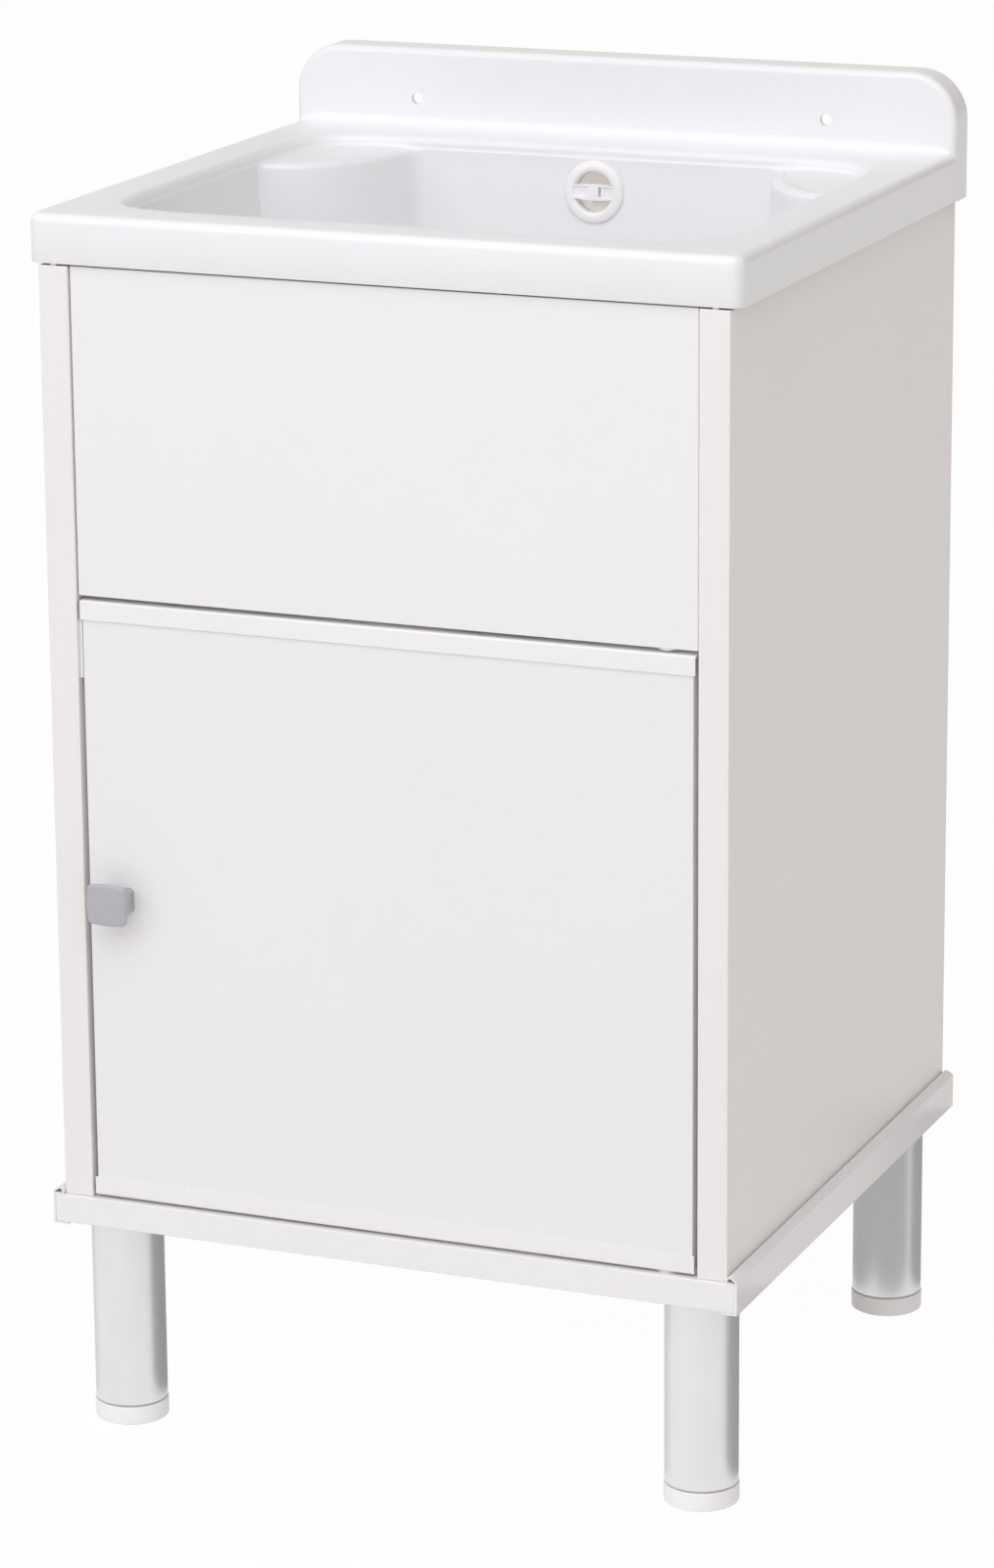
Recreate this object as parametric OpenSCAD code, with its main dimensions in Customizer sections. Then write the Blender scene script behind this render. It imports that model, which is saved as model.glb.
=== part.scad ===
// Laundry sink cabinet: a moulded tub with soap shelves and a splashback, on a cabinet of
// hollow extruded panels with one pivoted door, standing on four tube legs with screw feet.
// The front faces -Y, the wall is at +Y, and the floor is z = 0. Millimetres.

/* [Tub] */
// Width of the tub over its skirt
tub_w = 500; // [460:1:560]
// Depth of the tub from the skirt's front to the wall
tub_d = 460; // [430:1:520]
// Height of the rim above the floor
rim_z = 850; // [820:1:900]
// Height of the skirt that hangs from the rim
skirt_h = 33; // [26:1:42]
// Thickness of the moulded wall
tub_wall = 4; // [3:0.5:5]
// Radius of the skirt's upright corners
tub_corner_r = 10; // [7:1:16]
// Radius of the rim's outer edge
rim_edge_r = 6; // [3:1:7]
// Width of the deck in front of the bowl
deck_front = 39; // [32:1:50]
// Width of the deck between the bowl and the splashback
deck_rear = 45; // [40:1:52]
// Depth of the bowl's floor below the rim
bowl_depth = 212; // [170:1:230]
// How far each bowl wall draws in towards the floor
bowl_taper = 12; // [6:1:18]
// Radius between the bowl's walls and its floor
bowl_floor_r = 45; // [25:1:55]
// Radius of the bowl's upper lip
bowl_lip_r = 5; // [3:0.5:7]
// Gap between the outside of the bowl and the side panels
bowl_gap = 3; // [2:0.5:8]

/* [Soap shelves] */
// Depth of the soap shelves below the rim
shelf_drop = 8; // [6:0.5:14]
// Reach of a soap shelf along the rear wall
shelf_x = 74; // [50:1:90]
// Reach of a soap shelf along the side wall
shelf_y = 100; // [60:1:120]

/* [Splashback] */
// Height of the splashback above the rim
splash_h = 56; // [42:1:90]
// Depth of the splashback's rolled edge
splash_t = 27; // [20:1:34]
// Radius of the splashback's upper corners
splash_r = 34; // [20:1:38]
// Radius of the splashback's front edge
splash_edge_r = 5; // [2:0.5:7]
// Radius of the cove at the splashback's foot
splash_cove_r = 7; // [4:0.5:12]
// Diameter of the wall screw holes
wall_hole_d = 8.5; // [5:0.5:10]
// Distance between the wall screw holes
wall_hole_pitch = 310; // [240:1:360]
// Height of the wall screw holes above the rim
wall_hole_up = 20; // [14:1:30]

/* [Overflow] */
// Depth of the overflow's centre below the rim
overflow_drop = 32; // [30:1:50]
// Outer diameter of the overflow rosette
rosette_d = 44; // [40:1:50]
// Clear opening of the overflow rosette
rosette_open_d = 29; // [22:1:29]
// Height of the rosette's cross bar at its middle
rosette_bar_h = 11.5; // [9:0.5:13]
// Outer diameter of the overflow hose over its ribs
hose_d = 25; // [22:0.5:27]
// Distance from one rib of the hose to the next
hose_pitch = 5; // [4:0.5:7]
// Radius of the hose's bend on its centre line
hose_bend_r = 45; // [38:1:52]

/* [Waste and trap] */
// Diameter of the waste hole in the bowl's floor
waste_hole_d = 52; // [48:1:56]
// Outer diameter of the waste flange
waste_flange_d = 76; // [70:1:84]
// Outer diameter of the trap's tailpipe
tailpipe_d = 32; // [28:1:34]
// Outer diameter of the trap's outlet pipe
outlet_d = 40; // [36:1:42]
// Outer diameter of the trap's bottle
trap_d = 68; // [64:1:76]
// Height of the trap's cup
trap_cup_h = 66; // [50:1:90]

/* [Cabinet] */
// How far the tub stands out beyond each side panel
side_overhang = 8; // [4:1:12]
// How far the tub stands out beyond the panels at the front
front_overhang = 1; // [0:0.5:4]
// Dark seam between the skirt and the panels
seam = 1.2; // [0.8:0.1:2]
// Thickness of the side panels
side_t = 21; // [18:1:24]
// Wall thickness of every hollow panel
skin = 1.6; // [1.2:0.1:2.2]
// Distance from one inner web of a panel to the next
web_pitch = 30; // [26:1:36]
// Height of the fixed front panel
fascia_h = 222; // [200:1:240]
// Thickness of the fixed front panel
fascia_t = 18; // [15:1:20]
// How far the fixed front panel stands back from the side panels
fascia_set = 2; // [1:0.5:3]
// Height of the upper rear rail
upper_rail_h = 80; // [60:1:100]
// Height of the lower rear rail
lower_rail_h = 60; // [50:1:90]
// Thickness of the rear rails
rail_t = 20; // [16:1:20]

/* [Base] */
// Thickness of the base panel
base_t = 20; // [18:1:24]
// How far the base stands out at the front
base_front = 3; // [1:0.5:6]
// How far the base stands out at each side
base_side = 8; // [6:0.5:10]
// Wall thickness of the base's end caps
base_cap_wall = 1.5; // [1:0.1:1.8]
// Width of the lower lip of the base's end caps
base_cap_lip = 11; // [7:0.5:13]
// Height of the hollow bead on top of the base's end caps
base_bead_h = 5; // [3.6:0.2:5.6]

/* [Door] */
// Thickness of the door panel
door_t = 16; // [15:0.5:17]
// How far the door panel stands back from the side panels
door_set = 1.5; // [1.3:0.1:2.5]
// Gap between the door's caps and each side panel
door_side_gap = 2.3; // [2:0.1:3]
// Gap above the door
door_top_gap = 3; // [2.5:0.1:5]
// Gap below the door
door_foot_gap = 2; // [1.5:0.1:3]
// Height of the door's end caps
door_cap_h = 13; // [10:0.5:16]
// Wall thickness of the door's end caps
door_cap_wall = 1.2; // [1:0.1:1.2]
// Diameter of the door's pivot pins
pivot_d = 5; // [4:0.5:6]
// Distance of the pivot axis from the edge of the caps
pivot_inset = 21; // [20:0.5:22]

/* [Knob] */
// Width of the knob's pad
knob_w = 29.5; // [24:0.5:34]
// Height of the knob's pad
knob_h = 29; // [24:0.5:34]
// How far the knob stands out from the door panel
knob_out = 20; // [16:0.5:28]
// Distance of the knob's centre from the edge of the door panel
knob_inset = 21; // [20:0.5:30]
// Height of the knob's centre above the foot of the door
knob_up = 214; // [150:1:300]

/* [Legs] */
// Height of the base panel's underside above the floor
leg_h = 149.5; // [120:0.5:170]
// Diameter of a leg tube
leg_d = 50; // [44:1:54]
// Wall thickness of a leg tube
leg_wall = 1.5; // [1:0.1:2]
// Distance of the front and rear legs from the panel's edges
leg_inset_y = 34; // [30:1:45]
// Distance of each leg from the side panel's outer face
leg_inset_x = 30; // [30:1:45]
// Height of a foot
foot_h = 13; // [10:0.5:18]
// Groove between a foot and its tube
foot_groove = 1.2; // [0.8:0.1:2]
// Travel of a foot's screw
foot_travel = 20; // [10:1:25]
// Diameter of a foot's screw
foot_screw_d = 10; // [8:0.5:12]

/* [Hidden] */
$fn = 48;

// Clearances
seat = 0.3;          // between pieces that seat or pass without turning
running = 0.05;      // radial, round a pin or a screw that turns
thread_fit = 0.1;    // radial, between a nut and what it screws on
eps = 0.01;

// Frame: the box over everything is centred on x = 0 and y = 0
cabinet_w = tub_w - 2 * side_overhang;
cabinet_d = tub_d - front_overhang;
back_y = (cabinet_d - door_set + knob_out) / 2;
front_y = back_y - cabinet_d;
inner_x = cabinet_w / 2 - side_t;
panel_top = rim_z - skirt_h - seam;
base_top = leg_h + base_t;
panel_h = panel_top - base_top;
fascia_foot = panel_top - fascia_h;

// Bowl
tub_front = back_y - tub_d;
bowl_a = inner_x - bowl_gap - tub_wall;
bowl_front = tub_front + deck_front;
bowl_rear = back_y - splash_t - deck_rear;
bowl_b = (bowl_rear - bowl_front) / 2;
bowl_y = (bowl_rear + bowl_front) / 2;
bowl_power = 9;
shelf_blend = 16;
shelf_z = rim_z - shelf_drop;
shelf_fall = 1.2;
shelf_ease = 0.8;
floor_z = rim_z - bowl_depth;
floor_fall = 3;
recess = 3.5;
recess_r = waste_flange_d / 2 + 2.5;
fillet_z = floor_z + floor_fall + bowl_floor_r;
floor_under = floor_z - recess - tub_wall;
wall_run = shelf_z - fillet_z;
lean = atan((bowl_taper - shelf_ease) / (wall_run - shelf_fall));
corner_steps = 5;
side_steps = 20;
rib_t = 4;

// Overflow, on the leaning rear wall of the bowl
overflow_z = rim_z - overflow_drop;
overflow_y = bowl_y + bowl_b - shelf_ease - (shelf_z - shelf_fall - overflow_z) * tan(lean);
rosette_t = 3;
rosette_hub = 7.5;
bar_back = 1.5;
bar_face = rosette_t - 0.4;
stud_top = 1.3;
overflow_hole_r = 16;
overflow_neck_r = overflow_hole_r - seat;
overflow_screw_r = 2;
overflow_back = tub_wall + 0.35;
gasket_t = 2.5;
elbow_flange_t = 3;
elbow_r = 17;
elbow_len = 24;
elbow_wall = 2;
spigot_r = 8;
spigot_bore_r = 6;
spigot_len = 22;
hose_sides = 8;
hose_root_r = hose_d / 2 - 2;
hose_bore_r = (spigot_r + seat) / cos(180 / hose_sides);
hose_cuff = 20;
hose_y = overflow_y + (overflow_back + gasket_t + elbow_flange_t + elbow_len / 2) * cos(lean);
overflow_run = overflow_back + gasket_t + elbow_flange_t + elbow_len;
hose_top = overflow_z - elbow_r - overflow_run * sin(lean) - seat;

// Waste and trap, under the middle of the bowl
waste_y = bowl_y;
waste_hole_r = waste_hole_d / 2;
waste_neck_r = waste_hole_r - seat;
waste_rim_t = 2.5;
waste_screw_r = 3;
waste_gasket_t = 3;
waste_cup_r = waste_hole_r + 4;
waste_cup_wall = 2.5;
waste_body_top = floor_under - waste_gasket_t;
waste_cup_h = 44;
waste_inlet_z = waste_body_top - 26;
tail_r = tailpipe_d / 2;
tail_wall = 1.8;
thread_wall = 4;
waste_thread_r = tail_r + thread_wall;
waste_thread_foot = waste_body_top - waste_cup_h - 20;
nut_h = 22;
nut_lip = 5;
nut_wall = 5;
trap_neck_top = waste_thread_foot - 22;
trap_neck_h = 22;
trap_r = trap_d / 2;
trap_wall = 3;
trap_shoulder = trap_neck_top - trap_neck_h;
outlet_r = outlet_d / 2;
outlet_wall = 1.8;
outlet_thread_r = outlet_r + thread_wall;
outlet_z = trap_shoulder - outlet_thread_r - 2;
trap_body_foot = outlet_z - outlet_thread_r - 4;
trap_collar_h = 14;
trap_cup_foot = trap_body_foot - trap_cup_h;
outlet_neck_y = waste_y + trap_r + 24;
outlet_start = waste_y + trap_r + 4;
outlet_bead_y = outlet_neck_y + nut_lip + 2 * seat;
outlet_bead = 4;

// Overflow hose path: down, a quarter bend, then forward to the waste
hose_down = hose_top - waste_inlet_z - hose_bend_r;
hose_end_y = waste_y + waste_cup_r + seat;
hose_forward = hose_y - hose_bend_r - hose_end_y;
hose_arc = PI / 2 * hose_bend_r;
hose_len = hose_down + hose_arc + hose_forward;
hose_ribs = floor((hose_len - 2 * hose_cuff) / hose_pitch);

// Door
door_w = 2 * (inner_x - door_side_gap);
door_panel_inset = 1.5;
door_panel_w = door_w - 2 * door_panel_inset;
door_front = front_y + door_set;
door_foot = base_top + door_foot_gap;
door_top = fascia_foot - door_top_gap;
cap_play = 0.05;
cap_face = door_front - door_cap_wall - cap_play;
cap_depth = door_t + 2 * (door_cap_wall + cap_play);
door_cap_web = 2;
pivot_r = pivot_d / 2;
pivot_x = door_w / 2 - pivot_inset;
pivot_y = door_front + door_t / 2;
bush_wall = 2.4;
bush_r = pivot_r + running + bush_wall;
bush_len = 10;
boss_r = pivot_r + running + 2;
boss_len = 18;

// Catch on the left side panel, behind the door's upper corner
catch_h = 40;
catch_top = door_top - door_cap_h - 1;
catch_leaf_t = 2.5;
catch_body_w = 14;
catch_body_d = 20;
catch_front = front_y + 3;
strike_t = 1.2;
strike_w = 12;
catch_gap = 0.5;
magnet_front = door_front + door_t + strike_t + catch_gap;

// Knob
knob_x = -door_panel_w / 2 + knob_inset;
knob_z = door_foot + knob_up;
knob_pad_t = 4.5;
pad_bulge = 0.06;
knob_stem_w = 24;
knob_stem_h = 17;

// Legs
leg_r = leg_d / 2;
leg_x = cabinet_w / 2 - leg_inset_x;
leg_front_y = front_y + leg_inset_y;
leg_rear_y = back_y - leg_inset_y;
tube_foot = foot_h + foot_groove;
plug_r = leg_r - leg_wall - 0.1;
socket_h = 20;
insert_h = 14;
foot_r = leg_r + 0.6;
leg_bolt_r = 4;

// Brackets
bracket_leg = 18;
bracket_w = 24;
bracket_t = 2.5;
bracket_screw_r = 1.8;
bracket_screw_len = 12;

white = [0.91, 0.90, 0.91];
door_white = [0.90, 0.90, 0.91];
tub_white = [0.90, 0.90, 0.93];
satin_grey = [0.72, 0.71, 0.73];
leg_grey = [0.80, 0.80, 0.81];
pipe_white = [0.93, 0.93, 0.92];
rubber_black = [0.15, 0.15, 0.15];
steel = [0.75, 0.75, 0.76];

// Outline of a rounded rectangle, corner by corner, with even points along its sides.
function outline(w, d, r) = [
  for (q = [0:3])
    let (c = corner(w, d, r, q), e = corner(w, d, r, (q + 1) % 4), out = r * dir(90 * q + 90))
      each concat(
        [for (k = [0:corner_steps]) c + r * dir(90 * q + 90 * k / corner_steps)],
        [for (j = [1:side_steps - 1]) c + out + (e - c) * j / side_steps])
];
function corner(w, d, r, q) = [(w / 2 - r) * (q == 0 || q == 3 ? 1 : -1), (d / 2 - r) * (q < 2 ? 1 : -1)];
function dir(t) = [cos(t), sin(t)];
function raise(points, z) = [for (p = points) [p[0], p[1], z]];

// Rings of the tub, each with one point for each point of the skirt's outline.
tub_y = tub_front + tub_d / 2;
bearings = [for (p = outline(tub_w, tub_d, tub_corner_r)) atan2(p[1] + tub_y - bowl_y, p[0])];
function skirt_ring(inset, z) =
  let (r = max(tub_corner_r - inset, 1))
    [for (p = outline(tub_w - 2 * inset, tub_d - 2 * inset, r)) [p[0], p[1] + tub_y, z]];
function bowl_ring(inset, z, shelves) =
  [for (t = bearings) let (r = bowl_reach(t, inset, shelves)) [r * cos(t), bowl_y + r * sin(t), z]];
function round_ring(r, z) = [for (t = bearings) [r * cos(t), waste_y + r * sin(t), z]];

// Distance from the bowl's middle to its wall: a superellipse, less a quarter ellipse in each
// rear corner where a column carries a soap shelf.
function bowl_reach(t, inset, shelves) =
  let (wall = superellipse(t, bowl_a - inset, bowl_b - inset, bowl_power),
       column = ellipse_hit(t, cos(t) < 0 ? -bowl_a : bowl_a, bowl_b, shelf_x + inset, shelf_y + inset))
    shelves ? soft_min(wall, column, shelf_blend) : wall;
function superellipse(t, a, b, n) = pow(pow(abs(cos(t)) / a, n) + pow(abs(sin(t)) / b, n), -1 / n);
function ellipse_hit(t, x, y, a, b) =
  let (p = pow(cos(t) / a, 2) + pow(sin(t) / b, 2),
       q = cos(t) * x / (a * a) + sin(t) * y / (b * b),
       s = q * q - p * (x * x / (a * a) + y * y / (b * b) - 1))
    s > 0 && q > 0 ? (q - sqrt(s)) / p : 2 * (abs(x) + abs(y));
function soft_min(a, b, k) = min(a, b) - pow(max(k - abs(a - b), 0), 2) / (4 * k);

// Skins rings into a closed tube that meets itself, or into a solid with flat ends.
module ring_loop(rings) {
  n = len(rings[0]);
  m = len(rings);
  polyhedron([for (r = rings) each r], [
    for (k = [0:m - 1], i = [0:n - 1])
      let (a = k * n + i, b = k * n + (i + 1) % n, up = ((k + 1) % m) * n, c = up + i, d = up + (i + 1) % n)
        each [[a, b, c], [b, d, c]]
  ]);
}
module ring_solid(rings) {
  n = len(rings[0]);
  m = len(rings);
  polyhedron([for (r = rings) each r], concat(
    [[for (i = [n - 1:-1:0]) i]],
    [for (k = [0:m - 2], i = [0:n - 1])
      let (a = k * n + i, b = k * n + (i + 1) % n, c = a + n, d = b + n)
        each [[a, b, c], [b, d, c]]],
    [[for (i = [0:n - 1]) (m - 1) * n + i]]
  ));
}

// Tub
tub_rings = concat(
  [round_ring(20, floor_z - recess), round_ring(recess_r, floor_z - recess)],
  [round_ring(recess_r + 1, floor_z)],
  [for (t = [0, 20, 40, 60, 90])
    bowl_ring(bowl_taper + bowl_floor_r * (1 - sin(t)), fillet_z - bowl_floor_r * cos(t), true)],
  [bowl_ring(shelf_ease, shelf_z - shelf_fall, true), bowl_ring(shelf_ease / 2, shelf_z, false)],
  [for (t = [0, 30, 60, 90])
    bowl_ring(-bowl_lip_r * (1 - cos(t)), rim_z - bowl_lip_r * (1 - sin(t)), false)],
  [for (t = [0, 30, 60, 90]) skirt_ring(rim_edge_r * (1 - sin(t)), rim_z - rim_edge_r * (1 - cos(t)))],
  [skirt_ring(0, rim_z - skirt_h), skirt_ring(tub_wall, rim_z - skirt_h)],
  [skirt_ring(tub_wall, rim_z - tub_wall)],
  [bowl_ring(-tub_wall, rim_z - tub_wall, false), bowl_ring(-tub_wall, shelf_z - tub_wall, false),
   bowl_ring(shelf_ease - tub_wall, shelf_z - shelf_fall - tub_wall, true)],
  [for (t = [90, 60, 30, 0])
    bowl_ring(bowl_taper + bowl_floor_r - (bowl_floor_r + tub_wall) * sin(t),
              fillet_z - (bowl_floor_r + tub_wall) * cos(t), true)],
  [round_ring(recess_r + 1 + tub_wall, floor_under), round_ring(20, floor_under)]
);

// Outline of the splashback seen from the front, from foot to foot over the top.
splash_foot = rim_z - rim_edge_r - 2;
function splash_outline(inset) =
  let (x = tub_w / 2 - inset, top = rim_z + splash_h - inset, r = splash_r - inset)
    concat([[x, splash_foot]],
           [for (t = [0:10:90]) [x - r + r * cos(t), top - r + r * sin(t)]],
           [for (t = [90:10:180]) [-x + r + r * cos(t), top - r + r * sin(t)]],
           [[-x, splash_foot]]);
function splash_ring(inset, y) = [for (p = splash_outline(inset)) [p[0], y, p[1]]];
splash_front = back_y - splash_t;

// Cove between the deck and the splashback, which sinks into their corner at both ends.
cove_end = tub_w / 2 - rim_edge_r - 3;
function cove_ring(x, r, sunk) = let (y = splash_front - r + sunk, z = rim_z + r - sunk) concat(
  [[x, splash_front + 1, rim_z - 1], [x, y, rim_z - 1]],
  [for (t = [90:-15:0]) [x, y + r * cos(t), z - r * sin(t)]],
  [[x, splash_front + 1, z]]);
function cove_fade(side) = [for (t = side > 0 ? [75:-15:0] : [0:15:75])
  cove_ring(side * (cove_end - 16 * (1 - cos(t))), 0.4 + (splash_cove_r - 0.4) * sin(t), 0.4 * cos(t))];
module splash_cove() ring_solid(concat(
  cove_fade(-1),
  [cove_ring(16 - cove_end, splash_cove_r, 0), cove_ring(cove_end - 16, splash_cove_r, 0)],
  cove_fade(1)));

module splashback() {
  splash_cove();
  difference() {
    ring_solid(concat(
      [for (t = [0, 30, 60, 90])
        splash_ring(splash_edge_r * (1 - sin(t)), splash_front + splash_edge_r * (1 - cos(t)))],
      [splash_ring(0, back_y)]));
    translate([0, back_y + eps, rim_z + 1])
      rotate([90, 0, 0]) linear_extrude(splash_t - tub_wall + eps) splash_hollow();
  }
}

// The hollow behind the splashback: its outline less the wall, down to just above the deck.
module splash_hollow() {
  w = tub_w - 2 * tub_wall;
  h = splash_h - tub_wall - 1;
  r = splash_r - tub_wall;
  translate([-w / 2, 0]) square([w, h - r]);
  translate([r - w / 2, 0]) square([w - 2 * r, h]);
  intersection() {
    for (x = [r - w / 2, w / 2 - r]) translate([x, h - r]) circle(r);
    translate([-w / 2, 0]) square([w, h]);
  }
}

module tub() color(tub_white) {
  difference() {
    union() {
      ring_loop(tub_rings);
      splashback();
      for (x = [-1, 1] * (cabinet_w - side_t) / 2)
        translate([x - rib_t / 2, tub_front + tub_wall / 2, panel_top])
          cube([rib_t, tub_d - tub_wall, rim_z - tub_wall / 2 - panel_top]);
    }
    translate([0, waste_y, floor_under - 1]) cylinder(h = recess + tub_wall + 2, r = waste_hole_r);
    at_overflow() translate([0, 0, -2 * tub_wall]) cylinder(h = 3 * tub_wall, r = overflow_hole_r);
    for (x = [-1, 1]) translate([x * wall_hole_pitch / 2, splash_front - 1, rim_z + wall_hole_up])
      rotate([-90, 0, 0]) cylinder(h = tub_wall + 2, r = wall_hole_d / 2);
  }
}

// Overflow: local z = 0 is the bowl's wall, and +z points into the bowl.
module at_overflow() translate([0, overflow_y, overflow_z]) rotate([90 - lean, 0, 0]) children();

module overflow_rosette() color(pipe_white) at_overflow() difference() {
  r = rosette_d / 2;
  hole = rosette_open_d / 2;
  union() {
    rotate_extrude() polygon([[hole, 0], [r, 0], [r, 0.6], [r - 1.2, 1.6], [r - 3.2, rosette_t - 0.3],
                              [hole + 2.4, rosette_t], [hole + 0.9, rosette_t - 0.4],
                              [hole, rosette_t - 1.4]]);
    translate([0, 0, -tub_wall]) difference() {
      cylinder(h = tub_wall + 1, r = overflow_neck_r);
      translate([0, 0, -1]) cylinder(h = tub_wall + 3, r = hole);
    }
    translate([0, 0, -bar_back]) linear_extrude(bar_back + bar_face) intersection() {
      rosette_bar();
      circle(hole + 0.6);
    }
  }
  // A shallow field on each side of the hub, and a slot right through beside it
  intersection() {
    for (side = [0, 1]) mirror([side, 0, 0])
      translate([rosette_hub / 2, 2 - rosette_bar_h / 2, bar_face - 1]) cube([hole, rosette_bar_h - 4, 3]);
    cylinder(h = 2 * rosette_t, r = hole - 0.8);
  }
  translate([rosette_hub / 2, 2.5 - rosette_bar_h / 2, -bar_back - 1])
    cube([2, rosette_bar_h - 5, bar_back + rosette_t + 1]);
  translate([0, 0, -5]) cylinder(h = 5 + stud_top + 0.1, r = overflow_screw_r + running);
}

// Outline of the cross bar: two large arcs make it fullest at its middle.
module rosette_bar() {
  half = rosette_open_d / 2;
  bulge_r = half * half / 2;
  intersection_for(side = [-1, 1])
    translate([0, side * (bulge_r - rosette_bar_h / 2)]) circle(bulge_r, $fn = 240);
}

// Stud moulded into the hub from behind, which the rosette turns into the elbow's web
module overflow_screw() color(steel) at_overflow() {
  foot = overflow_back + gasket_t + elbow_flange_t + 4;
  translate([0, 0, -foot]) cylinder(h = foot + stud_top, r = overflow_screw_r);
}

module overflow_gasket() color(rubber_black) at_overflow()
  translate([0, 0, -overflow_back - gasket_t]) difference() {
    cylinder(h = gasket_t, r = rosette_d / 2 - 3.5);
    translate([0, 0, -1]) cylinder(h = gasket_t + 2, r = overflow_neck_r);
  }

module overflow_elbow() color(pipe_white) {
  back = overflow_back + gasket_t;
  difference() {
    union() {
      at_overflow() {
        translate([0, 0, -back - elbow_flange_t]) cylinder(h = elbow_flange_t, r = rosette_d / 2 - 1);
        translate([0, 0, -back - elbow_len]) cylinder(h = elbow_len, r = elbow_r);
      }
      translate([0, hose_y, hose_top - spigot_len]) cylinder(h = spigot_len + elbow_r, r = spigot_r);
      translate([0, hose_y, hose_top + seat]) cylinder(h = elbow_r, r = hose_d / 2 - 1);
    }
    at_overflow() translate([0, 0, -back - elbow_len + elbow_wall])
      cylinder(h = elbow_len, r = elbow_r - elbow_wall);
    translate([0, hose_y, hose_top - spigot_len - 1])
      cylinder(h = spigot_len + elbow_r + 1, r = spigot_bore_r);
  }
  at_overflow() difference() {
    intersection() {
      translate([-elbow_r, -3, -back - elbow_flange_t - 3]) cube([2 * elbow_r, 6, 5]);
      translate([0, 0, -back - elbow_len]) cylinder(h = elbow_len, r = elbow_r - 1);
    }
    translate([0, 0, -back - elbow_flange_t - 4]) cylinder(h = 8, r = overflow_screw_r + running);
  }
}

// Centre line of the hose at a distance s from its top: [y, z, heading from straight down]
function hose_at(s) =
  s < hose_down ? [hose_y, hose_top - s, 0]
  : s < hose_down + hose_arc ?
      let (t = (s - hose_down) / hose_arc * 90)
        [hose_y - hose_bend_r * (1 - cos(t)), waste_inlet_z + hose_bend_r * (1 - sin(t)), t]
  : [hose_y - hose_bend_r - (s - hose_down - hose_arc), waste_inlet_z, 90];
function hose_ring(s, r) =
  let (c = hose_at(s))
    [for (i = [0:hose_sides - 1]) let (u = r * cos(360 * i / hose_sides), v = r * sin(360 * i / hose_sides))
      [u, c[0] + v * cos(c[2]), c[1] - v * sin(c[2])]];

module overflow_hose() color(pipe_white) {
  ribbed = hose_ribs * hose_pitch;
  lead = (hose_len - ribbed) / 2;
  ring_loop(concat(
    [hose_ring(0, hose_root_r)],
    [for (k = [0:hose_ribs - 1])
      each [hose_ring(lead + k * hose_pitch, hose_root_r),
            hose_ring(lead + (k + 0.5) * hose_pitch, hose_d / 2)]],
    [hose_ring(hose_len - lead, hose_root_r), hose_ring(hose_len, hose_root_r)],
    [for (k = [hose_ribs:-2:0]) hose_ring(hose_len * k / hose_ribs, hose_bore_r)],
    hose_ribs % 2 == 1 ? [hose_ring(0, hose_bore_r)] : []));
}

// Waste
module waste_flange() color(steel) translate([0, waste_y, floor_z]) difference() {
  neck_foot = -recess - tub_wall - 3;
  union() {
    rotate_extrude() polygon([
      [waste_neck_r - 2, neck_foot], [waste_neck_r, neck_foot], [waste_neck_r, -recess],
      [waste_flange_d / 2, -recess], [waste_flange_d / 2, -recess + 1],
      [waste_flange_d / 2 - 3, -recess + waste_rim_t], [waste_neck_r, -recess + waste_rim_t],
      [waste_neck_r - 2, -recess + waste_rim_t - 2]]);
    translate([0, 0, -recess - 1]) cylinder(h = 2, r = waste_neck_r - 1);
  }
  for (t = [0:45:315]) rotate(t) translate([waste_neck_r * 0.62, 0, -recess - 2]) cylinder(h = 4, r = 4.6);
  translate([0, 0, -recess - 2]) cylinder(h = 4, r = waste_screw_r + running);
}

module waste_screw() color(steel) translate([0, waste_y, floor_z - recess + 1]) {
  difference() {
    cylinder(h = 2.4, r1 = 7, r2 = 5);
    translate([-0.6, -8, 1.2]) cube([1.2, 16, 2]);
  }
  translate([0, 0, -46]) cylinder(h = 46, r = waste_screw_r);
}

module waste_gasket() color(rubber_black) translate([0, waste_y, floor_under - waste_gasket_t]) difference() {
  cylinder(h = waste_gasket_t, r = waste_flange_d / 2);
  translate([0, 0, -1]) cylinder(h = waste_gasket_t + 2, r = waste_hole_r + seat);
}

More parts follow.
